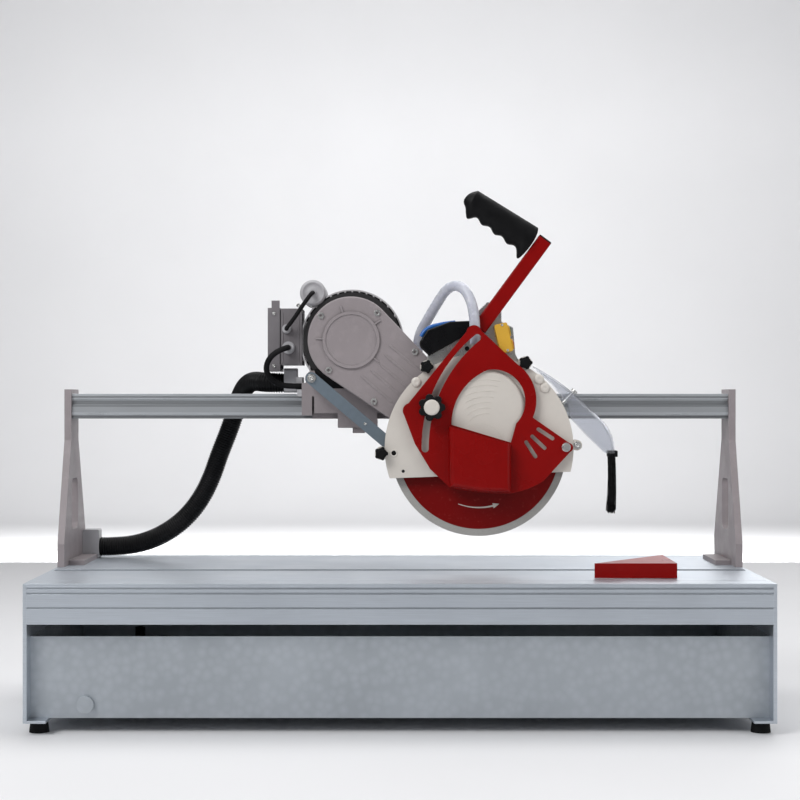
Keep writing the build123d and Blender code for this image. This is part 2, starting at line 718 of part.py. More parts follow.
# ---------------------------------------------------------------- guard
def guard_outline(radius):
    """Round guard outline, cut by the slightly tilted lower edge, with the knobs' ears."""
    Circle(radius)
    with Locations(Location((0, -GUARD_DROP, 0), (0, 0, GUARD_TILT))):
        Rectangle(3 * radius, 2 * radius, align=(Align.CENTER, Align.MAX), mode=Mode.SUBTRACT)
    with Locations(*GUARD_KNOBS.values()):
        Circle(11)
    with Locations(GUARD_LUG):
        Circle(GUARD_LUG_R)
    with Locations(*GUARD_KNOBS.values(), GUARD_LUG):
        Circle(STUD_R, mode=Mode.SUBTRACT)


def dome_outline(shrink):
    """Swelling of the guard's front over the blade's flange."""
    with Locations((12, 66)):
        Circle(66 - shrink)
    with Locations((2, 0)):
        Circle(54 - shrink)
    make_hull()


def guard_front():
    """Front half of the blade guard: wall, rim, swelling, hub boss and the water nozzle."""
    rear_y = GUARD_BACK_Y - GUARD_WALL
    wall_in = GUARD_FRONT_Y + GUARD_WALL
    with BuildPart() as guard:
        with BuildSketch(at_blade(rear_y)):
            guard_outline(GUARD_R)
        extrude(amount=rear_y - GUARD_FRONT_Y)
        with BuildSketch(at_blade(GUARD_FRONT_Y)):
            dome_outline(0)
        extrude(amount=8)
        fillet(guard.faces().sort_by(Axis.Y)[0].edges(), 7)
        disc(at_blade(GUARD_FRONT_Y - 8), 41, 1.6)
        with BuildSketch(at_blade(wall_in)):
            dome_outline(9)
        extrude(amount=7.5, mode=Mode.SUBTRACT)
        disc(at_blade(rear_y), GUARD_R - GUARD_WALL, rear_y - wall_in, Mode.SUBTRACT)
        with BuildSketch(Plane.XY.offset(BLADE_Z + 150)):
            with Locations(HOSE_ROUTE[0][:2]):
                Circle(HOSE_R)
        extrude(amount=18)
        with BuildSketch(Plane.XY.offset(BLADE_Z + 150)):
            with Locations(HOSE_ROUTE[0][:2]):
                Circle(6.5)
        extrude(amount=26)
        for place in (COVER_PIVOT, COVER_KNOB):
            disc(at_blade(GUARD_FRONT_Y + 9), 9, 9, centre=place)
            disc(at_blade(GUARD_FRONT_Y + 9), STUD_R, 9, Mode.SUBTRACT, place)
    finish(guard, "guard_front")


def guard_rear():
    """Rear half of the guard, with the sleeve's bore and the link's lug and pin."""
    with BuildPart() as guard:
        with BuildSketch(at_blade(GUARD_BACK_Y)):
            guard_outline(GUARD_R)
            with Locations((LINK_X, LINK_Z)):
                Circle(13)
            with BuildLine():
                Polyline((LINK_X - 34, -44), (LINK_X - 12, LINK_Z - 6), (LINK_X + 12, LINK_Z - 6),
                         (LINK_X + 34, -44), close=True)
            make_face()
            Circle(SLEEVE_R + 0.3, mode=Mode.SUBTRACT)
        extrude(amount=GUARD_WALL)
        disc(at_blade(GUARD_BACK_Y), 9, -2.5, centre=(LINK_X, LINK_Z))
        disc(at_blade(GUARD_BACK_Y), 6, -12, centre=(LINK_X, LINK_Z))
        disc(at_blade(LINK_FRONT_Y + LINK_T + 0.5), 9, -3, centre=(LINK_X, LINK_Z))
    finish(guard, "guard_rear")


def guard_studs():
    """Studs of the guard's knobs, the bolts of its lug, flap and cover, and the cover's stud."""
    with BuildPart() as studs:
        disc(at_blade(GUARD_BACK_Y), STUD_R, GUARD_BACK_Y - GUARD_FRONT_Y + 4, centre=GUARD_LUG)
        disc(at_blade(GUARD_FRONT_Y), 6.5, 4, centre=GUARD_LUG)
        disc(flap_bolt_plane(-24), FLAP_BOLT_R, 28)
        disc(flap_bolt_plane(2.5), 5.5, 4)
        for place in GUARD_KNOBS.values():
            disc(at_blade(GUARD_BACK_Y), STUD_R, GUARD_BACK_Y - GUARD_FRONT_Y + 6, centre=place)
        for place, reach in ((COVER_PIVOT, 19), (COVER_KNOB, 24)):
            disc(at_blade(GUARD_FRONT_Y + 9), STUD_R, 9 + reach, centre=place)
        with BuildSketch(at_blade(COVER_BACK_Y - COVER_T - 0.6)):
            with Locations(COVER_PIVOT):
                RegularPolygon(6.4, 6)
        extrude(amount=6)
    finish(studs, "guard_studs")


def lobed_knob(label, place, plane_y, radius, lobes, depth, bore):
    """A lobed clamping knob, blind-bored over its stud."""
    lobe_r = radius * 0.28
    with BuildPart() as knob:
        with BuildSketch(at_blade(plane_y)):
            with Locations(place):
                Circle(radius - 0.75 * lobe_r)
                with PolarLocations(radius - lobe_r, lobes):
                    Circle(lobe_r)
        extrude(amount=depth)
        chamfer(knob.faces().sort_by(Axis.Y)[0].edges(), min(1.2, depth / 8))
        disc(at_blade(plane_y), STUD_R + 0.4, bore, Mode.SUBTRACT, place)
    finish(knob, label)


# ---------------------------------------------------------------- handle and switch
def handle_point(along, across=0.0):
    """A point of the handle's plane, from its foot along the tube and to its upper left."""
    c, s = cos(radians(HANDLE_ANGLE)), sin(radians(HANDLE_ANGLE))
    return HANDLE_FOOT[0] + along * c - across * s, HANDLE_FOOT[1] + along * s + across * c


def handle_bracket():
    """Flat bracket behind the guard that carries the handle and the control box."""
    with BuildPart() as bracket:
        with BuildSketch(at_blade(GUARD_BACK_Y + 3)):
            with BuildLine():
                Polyline((-96, 118), (-86, 160), (-40, 186), (-8, 226), (16, 250), (40, 240),
                         (40, 216), (60, 206), (64, 160), (84, 126), (40, 140), (-50, 138), close=True)
            make_face()
            with Locations((-50, 150), (44, 150)):
                Circle(4, mode=Mode.SUBTRACT)
        extrude(amount=3)
        fillet(bracket.edges().filter_by(Axis.Y).filter_by(GeomType.LINE), 3)
    finish(bracket, "handle_bracket")


def handle_tube():
    """Rectangular handle tube with its end plug."""
    c, s = cos(radians(HANDLE_ANGLE)), sin(radians(HANDLE_ANGLE))
    foot = (BLADE_X + HANDLE_FOOT[0], GUARD_BACK_Y - HANDLE_D / 2, BLADE_Z + HANDLE_FOOT[1])
    with BuildPart() as tube:
        with BuildSketch(Plane(origin=foot, x_dir=(-s, 0, c), z_dir=(c, 0, s))):
            RectangleRounded(HANDLE_W, HANDLE_D, 2.5)
            RectangleRounded(HANDLE_W - 4, HANDLE_D - 4, 1.5, mode=Mode.SUBTRACT)
        extrude(amount=HANDLE_LENGTH - 4)
        with BuildSketch(Plane(origin=foot, x_dir=(-s, 0, c), z_dir=(c, 0, s)).offset(HANDLE_LENGTH - 4)):
            RectangleRounded(HANDLE_W, HANDLE_D, 2.5)
        extrude(amount=4)
    finish(tube, "handle_tube")


def handle_grip():
    """Moulded grip with finger grooves, nearly square to the tube."""
    foot = handle_point(HANDLE_LENGTH - 16, HANDLE_W / 2)
    angle = radians(180 - (90 - HANDLE_ANGLE) + GRIP_TILT)
    axis = Vector(cos(angle), 0, sin(angle))
    upward = Vector(sin(angle), 0, -cos(angle))
    middle_y = GUARD_BACK_Y - HANDLE_D / 2
    origin = Vector(BLADE_X + foot[0], middle_y, BLADE_Z + foot[1]) + axis * 3 + upward * 3
    end = Plane(origin=origin, x_dir=(0, 1, 0), z_dir=axis)
    with BuildPart() as grip:
        with BuildSketch(end):
            Ellipse(16, GRIP_R + 3)
        extrude(amount=GRIP_LENGTH - 3)
        with BuildSketch(end):
            with Locations((0, 4)):
                Ellipse(16, GRIP_R + 6)
        extrude(amount=10)
        for groove in range(4):
            below = origin + axis * (22 + groove * 26.6) - upward * (GRIP_R + 19)
            with BuildSketch(Plane(origin=below + Vector(0, 30, 0), x_dir=(1, 0, 0), z_dir=(0, -1, 0))):
                Circle(21)
            extrude(amount=60, mode=Mode.SUBTRACT)
    finish(grip, "handle_grip")


def control_box():
    """Black control box with a rounded left end."""
    with BuildPart() as box:
        with BuildSketch(at_blade(GUARD_BACK_Y)):
            with BuildLine():
                Polyline((-84, 157), (-6, 200.5), (-12, 217), (-49, 215.5), (-88, 201), (-104, 176),
                         close=True)
            make_face()
            fillet(vertices().group_by(Axis.X)[0], 12)
        extrude(amount=20)
        fillet(box.faces().sort_by(Axis.Y)[0].edges(), 3)
    finish(box, "control_box")


def switch_right(outward, along):
    """A sketch plane on the switch's right face, moved outward and along the switch."""
    c, s = cos(radians(SWITCH_TILT)), sin(radians(SWITCH_TILT))
    x = BLADE_X + SWITCH_CENTRE[0] + outward * c - along * s
    z = BLADE_Z + SWITCH_CENTRE[1] + outward * s + along * c
    return Plane(origin=(x, GUARD_BACK_Y - SWITCH_D / 2, z), x_dir=(0, 1, 0), z_dir=(c, 0, s))


def switch_body():
    """Yellow switch housing, its buttons' wells opening to the right."""
    with BuildPart() as switch:
        with BuildSketch(at_blade(GUARD_BACK_Y)):
            with Locations(Location((*SWITCH_CENTRE, 0), (0, 0, SWITCH_TILT))):
                RectangleRounded(SWITCH_W, SWITCH_H, 3)
        extrude(amount=SWITCH_D)
        for along in BUTTONS.values():
            disc(switch_right(SWITCH_W / 2, along), BUTTON_R + 0.5, -9, Mode.SUBTRACT)
    finish(switch, "switch_body")


def buttons():
    """Start and stop buttons, each standing out of its well."""
    for label, along in BUTTONS.items():
        with BuildPart() as button:
            disc(switch_right(SWITCH_W / 2 - 4, along), BUTTON_R, 4 + BUTTON_OUT)
            fillet(button.faces().sort_by(Axis.X)[-1].edges(), 1)
        finish(button, label)


# ---------------------------------------------------------------- flap and brush
def flap_bolt_plane(outward):
    """Plane across the flap's bolt, that far outside the flap's skin and facing outward."""
    c, s = cos(radians(FLAP_BOLT_ANGLE)), sin(radians(FLAP_BOLT_ANGLE))
    x, z = BLADE_X + FLAP_BOLT[0] + outward * c, BLADE_Z + FLAP_BOLT[1] + outward * s
    return Plane(origin=(x, -31, z), x_dir=(0, 1, 0), z_dir=(c, 0, s))


def flap_outline(inset):
    """Curved splash flap ahead of the guard, seen from the front."""
    with BuildLine() as outline:
        outer = Spline((92 - inset, 139 - inset), (154 - inset, 98 - inset), (195 - inset, 60 - inset),
                       (222 - inset, 29 - inset), (229 - inset, 5 - inset), (230 - inset, -9))
        Polyline(outer @ 1, (216 - 4 * inset, -9), (184 - 8 * inset, 22 - 8 * inset),
                 (158 - 8 * inset, 50 - 8 * inset), (150 - 8 * inset, 78 - 8 * inset),
                 (126 - 8 * inset, 108 - 8 * inset), outer @ 0)
    make_face(outline.edges())


def splash_flap():
    """Clear channel-shaped flap: a curved outer wall between two cheeks."""
    with BuildPart() as flap:
        with BuildSketch(at_blade(-15)):
            flap_outline(0)
        extrude(amount=32)
        with BuildSketch(at_blade(-17)):
            flap_outline(1.8)
        extrude(amount=28, mode=Mode.SUBTRACT)
        disc(flap_bolt_plane(-24), FLAP_BOLT_R + 0.3, 40, Mode.SUBTRACT)
    finish(flap, "splash_flap")


def brush_strip():
    """Bristle strip that hangs from the flap's lower end."""
    with BuildPart() as brush:
        with BuildSketch(at_blade(-15)):
            with BuildLine():
                Polyline((216, -9), (230, -9), (236, -111), (214, -105), close=True)
            make_face()
        extrude(amount=32)
    finish(brush, "brush_strip")


# ---------------------------------------------------------------- swinging cover
def cover_plate():
    """Swinging cover: window, clamping slot, three vents and the pivot hole."""
    with BuildPart() as cover:
        with BuildSketch(at_blade(COVER_BACK_Y)):
            with BuildLine():
                ThreePointArc((-22, 197), (-9, 208), (3, 199))
                Line((3, 199), (64, 142))
                ThreePointArc((64, 142), (95.7, 88), (90, 52))
                Line((90, 52), (152, 9))
                ThreePointArc((152, 9), (158, 1), (153, -6))
                Line((153, -6), (108, -55))
                ThreePointArc((108, -55), (82, -68), (51, -76))
                ThreePointArc((51, -76), (0, -74), (-50, -66))
                Polyline((-50, -66), (-83, -35), (-109, 8), (-127, 56))
                ThreePointArc((-127, 56), (-129, 67), (-120, 76))
                Line((-120, 76), (-22, 197))
            make_face()
            with BuildLine():
                ThreePointArc((-47, 40), (-22, 107), (13, 132))
                ThreePointArc((13, 132), (77, 85), (62, 42))
                Polyline((62, 42), (53, 10), (-47, 40))
            make_face(mode=Mode.SUBTRACT)
            with BuildLine() as slot_path:
                CenterArc(COVER_PIVOT, COVER_SLOT_R, 129, 51.6)
            SlotArc(slot_path.edges()[0], 12, mode=Mode.SUBTRACT)
            for centre, angle in (((111.3, 24.6), -33), ((99.5, 10.5), -43), ((86.6, -1.5), -57)):
                with Locations(Location((*centre, 0), (0, 0, angle))):
                    SlotOverall(35, 6.5, mode=Mode.SUBTRACT)
            with Locations(COVER_PIVOT):
                Circle(STUD_R + 0.3, mode=Mode.SUBTRACT)
        extrude(amount=COVER_T)
    finish(cover, "cover_plate")


def cover_pocket():
    """Splash pocket on the cover's front, open at its top."""
    front_y = COVER_BACK_Y - COVER_T
    outline = ((-51.7, 37.7), (51.9, 7.4), (52, -74), (0, -72.5), (-50, -64))
    inner = ((-49.2, 60), (49.4, 40), (49.5, -71.4), (0, -70), (-47.5, -61.8))
    with BuildPart() as pocket:
        with BuildSketch(at_blade(front_y)):
            with BuildLine():
                Polyline(*outline, close=True)
            make_face()
        extrude(amount=POCKET_D)
        lower_edges = pocket.faces().sort_by(Axis.Y)[0].edges().sort_by(Axis.Z)[:-1]
        fillet(lower_edges, 8)
        with BuildSketch(at_blade(front_y)):
            with BuildLine():
                Polyline(*inner, close=True)
            make_face()
        extrude(amount=POCKET_D - 2.5, mode=Mode.SUBTRACT)
    finish(pocket, "cover_pocket")


# ---------------------------------------------------------------- square on the table
def angle_square():
    """Red sheet-metal square that lies on the table: front flange and triangular top."""
    corner, right = (316.0, -174.0), 450.0
    rear_y = corner[1] + (right - corner[0]) * tan(radians(50))
    top = TABLE_Z + 0.5 + SQUARE_H
    with BuildPart() as square:
        with BuildSketch(Plane.XY.offset(top - 3)):
            with BuildLine():
                Polyline(corner, (right, rear_y), (right, corner[1]), close=True)
            make_face()
        extrude(amount=3)
        block(corner[0], right, corner[1], corner[1] + 3, TABLE_Z + 0.5, top)
        block(right - 3, right, corner[1], rear_y - 4, TABLE_Z + 0.5, top)
    finish(square, "angle_square")


# ---------------------------------------------------------------- cords
def cord_tube(label, points, radius):
    """A cord as straight runs joined by tangent arcs; prints its arcs and checks its volume."""
    vectors = [Vector(*point) for point in points]
    runs = [b - a for a, b in zip(vectors, vectors[1:])]
    radii = []
    for before, after in zip(runs, runs[1:]):
        turn = radians(before.get_angle(after))
        radii.append(0.45 * min(before.length, after.length) / tan(turn / 2))
    with BuildPart() as cord:
        with BuildLine() as path:
            FilletPolyline(*points, radius=radii)
        with BuildSketch(Plane(origin=vectors[0], z_dir=runs[0])):
            Circle(radius)
        sweep()
    length = sum(edge.length for edge in path.edges())
    expected = length * pi * radius ** 2
    arcs = ", ".join(f"{value:.0f}" for value in radii)
    print(f"{label}: length {length:.0f}, arcs {arcs}, volume ratio {cord.part.volume / expected:.3f}")
    finish(cord, label)


# ---------------------------------------------------------------- build everything
for make in (long_profiles, end_plates, cross_bearers, table_plates, water_tank, water_pump,
             rubber_feet, rail, rail_supports, junction_box, carriage_body, carriage_axles,
             carriage_rollers, pivot_bush, conduit_clamp, link_pin, link_bar, arm_casing,
             casing_back, casing_screws, bearings, drive_belt, motor_housing, motor_stator,
             motor_rotor, fan_cowl, terminal_box, cable_glands, capacitor, blade_spindle,
             blade_flanges, arbor_nut, saw_blade, guard_front, guard_rear, guard_studs,
             handle_bracket, handle_tube, handle_grip, control_box, switch_body, buttons,
             splash_flap, brush_strip, cover_plate, cover_pocket, angle_square):
    make()

pulley(at_motor(BELT_Y + BELT_W / 2 + 1), MOTOR_PULLEY_R, 12, "motor_pulley")
pulley(at_blade(BELT_Y + BELT_W / 2 + 1), BLADE_PULLEY_R, 10, "blade_pulley")

for knob_label, knob_place in GUARD_KNOBS.items():
    knob_depth = 18 if knob_label == "guard_knob_side" else 8.5
    lobed_knob(knob_label, knob_place, GUARD_FRONT_Y - 0.6, 11.7, 5, knob_depth, 6.5)
lobed_knob("cover_knob", COVER_KNOB, COVER_BACK_Y - COVER_T - 0.8, 23, 7, 24, 12)

cord_tube("cable_conduit", CONDUIT_ROUTE, CONDUIT_R)
cord_tube("motor_cable", MOTOR_CABLE_ROUTE, CABLE_R)
cord_tube("capacitor_lead", CAPACITOR_LEAD_ROUTE, CAPACITOR_LEAD_R)
cord_tube("water_hose", HOSE_ROUTE, HOSE_R)
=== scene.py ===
"""The wet tile saw's looks: materials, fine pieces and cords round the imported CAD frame."""

import json
import math
import random

import bmesh
import bpy
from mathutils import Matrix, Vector

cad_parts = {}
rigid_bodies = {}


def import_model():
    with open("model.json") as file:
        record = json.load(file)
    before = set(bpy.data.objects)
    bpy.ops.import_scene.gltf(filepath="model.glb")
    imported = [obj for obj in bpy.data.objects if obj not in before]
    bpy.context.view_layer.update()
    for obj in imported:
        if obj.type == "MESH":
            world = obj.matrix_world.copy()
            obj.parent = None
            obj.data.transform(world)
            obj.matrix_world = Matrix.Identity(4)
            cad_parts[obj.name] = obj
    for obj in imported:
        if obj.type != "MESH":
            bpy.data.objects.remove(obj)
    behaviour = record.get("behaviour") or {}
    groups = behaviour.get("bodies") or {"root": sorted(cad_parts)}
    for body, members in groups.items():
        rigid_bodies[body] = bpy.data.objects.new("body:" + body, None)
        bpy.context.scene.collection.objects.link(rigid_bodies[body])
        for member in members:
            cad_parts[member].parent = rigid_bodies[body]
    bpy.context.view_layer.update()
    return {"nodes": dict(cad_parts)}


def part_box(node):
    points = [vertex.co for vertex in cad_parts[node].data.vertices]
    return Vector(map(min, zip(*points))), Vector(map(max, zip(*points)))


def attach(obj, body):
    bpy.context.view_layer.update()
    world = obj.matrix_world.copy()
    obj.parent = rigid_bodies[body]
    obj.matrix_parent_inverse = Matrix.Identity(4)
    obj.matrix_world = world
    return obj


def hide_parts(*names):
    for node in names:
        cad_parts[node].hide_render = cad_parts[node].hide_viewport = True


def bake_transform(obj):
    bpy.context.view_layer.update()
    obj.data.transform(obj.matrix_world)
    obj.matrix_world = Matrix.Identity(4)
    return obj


for default in list(bpy.data.objects):
    bpy.data.objects.remove(default)
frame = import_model()
NODES = frame["nodes"]
MM = 0.001

# Driving places, worked out from the frame (metres).
BLADE_LOW, BLADE_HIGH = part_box("saw_blade")
BLADE = (BLADE_LOW + BLADE_HIGH) / 2
MOTOR = (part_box("fan_cowl")[0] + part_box("fan_cowl")[1]) / 2
GUARD_FACE_Y = -50 * MM
DOME_Y = GUARD_FACE_Y - 8 * MM
CASING_FACE_Y = -2 * MM


# ---------------------------------------------------------------- small helpers
def srgb(red, green, blue):
    """A colour given as 0 to 255 on screen, as the linear values that shaders take."""
    def linear(value):
        """One channel, from the screen's scale to light."""
        value /= 255
        return value / 12.92 if value <= 0.04045 else ((value + 0.055) / 1.055) ** 2.4
    return (linear(red), linear(green), linear(blue), 1.0)


def tinted(colour, factor):
    """The same colour, darker or lighter by a factor."""
    return tuple(min(1.0, channel * factor) for channel in colour[:3]) + (1.0,)


def at_blade(x, z, y):
    """A point given in millimetres from the blade's axis, at depth y in metres."""
    return Vector((BLADE.x + x * MM, y, BLADE.z + z * MM))


def at_motor(x, z, y):
    """A point given in millimetres from the motor's axis, at depth y in metres."""
    return Vector((MOTOR.x + x * MM, y, MOTOR.z + z * MM))


def front_middle(name):
    """Middle of the front of a node's box."""
    low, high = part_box(name)
    return Vector(((low.x + high.x) / 2, low.y, (low.z + high.z) / 2))


def circle(sides):
    """Angles that divide a full turn evenly."""
    return [math.tau * side / sides for side in range(sides)]


def arc(centre, radius, angles, y):
    """Points of an arc in front of the blade, in millimetres and degrees from its axis."""
    return [at_blade(centre[0] + radius * math.cos(math.radians(a)),
                     centre[1] + radius * math.sin(math.radians(a)), y) for a in angles]


def squared(value, power):
    """A sine or cosine pushed towards a square's corner."""
    return math.copysign(abs(value) ** power, value)


def swell(place, centre, width):
    """A smooth bump that is 1 at its centre."""
    return math.exp(-((place - centre) / width) ** 2)


# ---------------------------------------------------------------- materials
EDGE_ROUNDING = 0.0006
DRAWN_ALONG_X = (0.02, 1, 1)


class Shader:
    """A principled material whose colour, roughness and relief vary over the surface."""

    def __init__(self, name, colour, roughness, metallic=0.0, specular=0.5, coat=0.0):
        """Starts from a plain surface whose sharp edges are slightly rounded."""
        self.material = bpy.data.materials.new(name)
        self.material.use_nodes = True
        self.tree = self.material.node_tree
        self.bsdf = self.tree.nodes["Principled BSDF"]
        self.bsdf.inputs["Metallic"].default_value = metallic
        self.bsdf.inputs["Specular IOR Level"].default_value = specular
        self.bsdf.inputs["Coat Weight"].default_value = coat
        self.bsdf.inputs["Coat Roughness"].default_value = 0.12
        self.place = self.add("ShaderNodeTexCoord").outputs["Object"]
        self.colour = colour
        self.rough = roughness
        rounding = self.add("ShaderNodeBevel", samples=6)
        rounding.inputs["Radius"].default_value = EDGE_ROUNDING
        self.normal = rounding.outputs["Normal"]

    def add(self, kind, **settings):
        """A new node with those settings."""
        node = self.tree.nodes.new(kind)
        for key, value in settings.items():
            setattr(node, key, value)
        return node

    def feed(self, source, target):
        """Links a socket, or sets a plain number or colour on the target itself."""
        if isinstance(source, bpy.types.NodeSocket):
            self.tree.links.new(source, target)
        else:
            target.default_value = source

    def noise(self, scale, detail=4.0, stretch=(1, 1, 1), low=0.35, high=0.65, out=(0.0, 1.0)):
        """Noise over the object, remapped so that its middle band spans out."""
        mapping = self.add("ShaderNodeMapping")
        mapping.inputs["Scale"].default_value = stretch
        self.feed(self.place, mapping.inputs["Vector"])
        noise = self.add("ShaderNodeTexNoise")
        noise.inputs["Scale"].default_value = scale
        noise.inputs["Detail"].default_value = detail
        self.feed(mapping.outputs["Vector"], noise.inputs["Vector"])
        return self.remap(noise.outputs["Fac"], low, high, out)

    def remap(self, source, low, high, out=(0.0, 1.0)):
        """Stretches the span from low to high over out, and holds it beyond."""
        node = self.add("ShaderNodeMapRange")
        node.inputs["From Min"].default_value = low
        node.inputs["From Max"].default_value = high
        node.inputs["To Min"].default_value = out[0]
        node.inputs["To Max"].default_value = out[1]
        self.feed(source, node.inputs["Value"])
        return node.outputs["Result"]

    def blend(self, mask, colour, strength=1.0):
        """Blends another colour over the present one where the mask is high."""
        mix = self.add("ShaderNodeMix", data_type="RGBA")
        factor = self.add("ShaderNodeMath", operation="MULTIPLY")
        factor.inputs[1].default_value = strength
        self.feed(mask, factor.inputs[0])
        self.feed(factor.outputs[0], mix.inputs["Factor"])
        below, above = [s for s in mix.inputs if s.enabled and s.type == "RGBA"]
        self.feed(self.colour, below)
        self.feed(colour, above)
        self.colour = next(s for s in mix.outputs if s.enabled)
        return self

    def roughen(self, mask, amount):
        """Adds amount to the roughness where the mask is high."""
        node = self.add("ShaderNodeMath", operation="MULTIPLY_ADD")
        node.inputs[1].default_value = amount
        self.feed(mask, node.inputs[0])
        self.feed(self.rough, node.inputs[2])
        self.rough = node.outputs[0]
        return self

    def bump(self, height, strength, distance=0.001):
        """Adds relief to the surface."""
        node = self.add("ShaderNodeBump")
        node.inputs["Strength"].default_value = strength
        node.inputs["Distance"].default_value = distance
        self.feed(height, node.inputs["Height"])
        self.feed(self.normal, node.inputs["Normal"])
        self.normal = node.outputs["Normal"]
        return self

    def edges(self, colour, strength=0.6, radius=0.0012, roughness=0.15):
        """Wear and a painted highlight along edges: the colour shows where the surface turns sharply."""
        bevel = self.add("ShaderNodeBevel", samples=4)
        bevel.inputs["Radius"].default_value = radius
        geometry = self.add("ShaderNodeNewGeometry")
        dot = self.add("ShaderNodeVectorMath", operation="DOT_PRODUCT")
        self.feed(bevel.outputs["Normal"], dot.inputs[0])
        self.feed(geometry.outputs["Normal"], dot.inputs[1])
        edge = self.remap(dot.outputs["Value"], 0.97, 0.80)
        patchy = self.add("ShaderNodeMath", operation="MULTIPLY")
        self.feed(edge, patchy.inputs[0])
        self.feed(self.noise(90, 3, low=0.40, high=0.60, out=(0.15, 1.0)), patchy.inputs[1])
        self.blend(patchy.outputs[0], colour, strength)
        self.roughen(patchy.outputs[0], roughness)
        return self

    def painted_corner_shade(self, colour, strength=0.7, distance=0.012):
        """Painted shade: darkens the piece's corners and recesses."""
        corner = self.add("ShaderNodeAmbientOcclusion", samples=6, only_local=True)
        corner.inputs["Distance"].default_value = distance
        self.blend(self.remap(corner.outputs["AO"], 0.80, 0.25), colour, strength)
        return self

    def band(self, axis, start, end):
        """A mask that is 1 between two heights along an axis of the part."""
        soft = 0.0006
        split = self.add("ShaderNodeSeparateXYZ")
        self.feed(self.place, split.inputs[0])
        rise = self.remap(split.outputs[axis], start - soft, start + soft)
        fall = self.remap(split.outputs[axis], end - soft, end + soft, (1.0, 0.0))
        both = self.add("ShaderNodeMath", operation="MULTIPLY")
        self.feed(rise, both.inputs[0])
        self.feed(fall, both.inputs[1])
        return both.outputs[0]

    def radius(self, centre):
        """Distance from an axis along Y, in metres."""
        place = self.add("ShaderNodeVectorMath", operation="SUBTRACT")
        self.feed(self.place, place.inputs[0])
        place.inputs[1].default_value = centre
        flat = self.add("ShaderNodeVectorMath", operation="MULTIPLY")
        self.feed(place.outputs[0], flat.inputs[0])
        flat.inputs[1].default_value = (1, 0, 1)
        length = self.add("ShaderNodeVectorMath", operation="LENGTH")
        self.feed(flat.outputs[0], length.inputs[0])
        return length.outputs["Value"]

    def done(self):
        """Feeds the colour, roughness and relief to the shader and gives the material."""
        self.feed(self.colour, self.bsdf.inputs["Base Color"])
        self.feed(self.rough, self.bsdf.inputs["Roughness"])
        self.feed(self.normal, self.bsdf.inputs["Normal"])
        return self.material


def gloss_paint(name, colour, edge_chip_and_highlight):
    """Sprayed gloss paint: orange peel, light dust film, painted shade in the corners and worn edges
    with a painted highlight.
    """
    shader = Shader(name, colour, 0.26, specular=0.16, coat=0.03)
    film = shader.noise(9, 5, low=0.40, high=0.70)
    shader.blend(film, tinted(colour, 1.20), 0.35)
    shader.blend(shader.noise(45, 6, low=0.5, high=0.75), tinted(colour, 0.75), 0.35)
    shader.painted_corner_shade(tinted(colour, 0.4), 0.6, 0.008)
    shader.roughen(film, 0.10)
    shader.bump(shader.noise(420, 2), 0.05, 0.0004)
    return shader.edges(edge_chip_and_highlight, 0.35, 0.0009).done()


def cast_paint(name, colour, edge_chip_and_highlight):
    """Painted sand casting: fine pebble grain, painted shade in the hollows and worn edges with a
    painted highlight.
    """
    shader = Shader(name, colour, 0.46, specular=0.45)
    shader.blend(shader.noise(7, 5, low=0.42, high=0.68), tinted(colour, 0.86), 0.6)
    shader.blend(shader.noise(60, 6, low=0.52, high=0.72), tinted(colour, 1.14), 0.5)
    shader.roughen(shader.noise(26, 4), 0.12)
    shader.bump(shader.noise(520, 3), 0.22, 0.0005)
    shader.bump(shader.noise(60, 3), 0.08, 0.0010)
    shader.painted_corner_shade(tinted(colour, 0.42), 0.75)
    return shader.edges(edge_chip_and_highlight, 0.55, 0.0012).done()


def motor_paint(name, colour):
    """Motor housing: painted fin tips over a body painted near black as painted shade between the fins.
    """
    shader = Shader(name, colour, 0.48, specular=0.4)
    shader.blend(shader.noise(30, 5, low=0.42, high=0.68), tinted(colour, 0.80), 0.6)
    # Painted shade: the body between the fins is painted near black.
    painted_fin_shade = shader.remap(shader.radius(MOTOR), 0.0868, 0.0862)
    body = shader.add("ShaderNodeMath", operation="MULTIPLY")
    shader.feed(painted_fin_shade, body.inputs[0])
    shader.feed(shader.band("X", MOTOR.x - 87.5 * MM, MOTOR.x + 1), body.inputs[1])
    shader.blend(body.outputs[0], srgb(14, 13, 15), 0.97)
    shader.roughen(shader.noise(26, 4), 0.16)
    shader.bump(shader.noise(420, 3), 0.22, 0.0005)
    return shader.done()


def rail_metal(name, colour, shade_bands):
    """Extruded rail whose grooves and webs are painted darker as painted shade and made duller, and
    whose lands are polished.
    """
    shader = Shader(name, colour, 0.26, metallic=0.8)
    lines = shader.noise(700, 3, DRAWN_ALONG_X, 0.30, 0.70)
    shader.blend(lines, tinted(colour, 0.86), 0.5)
    shader.blend(shader.noise(5, 5, low=0.45, high=0.7), tinted(colour, 0.85), 0.4)
    for start, end, shade in shade_bands:
        mask = shader.band("Z", start * MM, end * MM)
        shader.blend(mask, tinted(colour, shade), 0.95)
        shader.roughen(mask, 0.10)
    shader.roughen(lines, 0.10)
    shader.bump(lines, 0.06, 0.0004)
    return shader.done()


def extruded(name, colour):
    """Extruded metal with drawn lines along the part's X axis, painted shade in the corners and worn
    edges with a painted highlight.
    """
    shader = Shader(name, colour, 0.30, metallic=0.85)
    lines = shader.noise(700, 3, DRAWN_ALONG_X, 0.30, 0.70)
    shader.blend(lines, tinted(colour, 0.82), 0.5)
    shader.blend(shader.noise(6, 5, low=0.45, high=0.7), tinted(colour, 0.80), 0.4)
    shader.roughen(lines, 0.12)
    shader.roughen(shader.noise(14, 4), 0.10)
    shader.bump(lines, 0.06, 0.0004)
    shader.painted_corner_shade(tinted(colour, 0.35), 0.6, 0.006)
    return shader.edges(tinted(colour, 1.5), 0.4, 0.0008, -0.05).done()


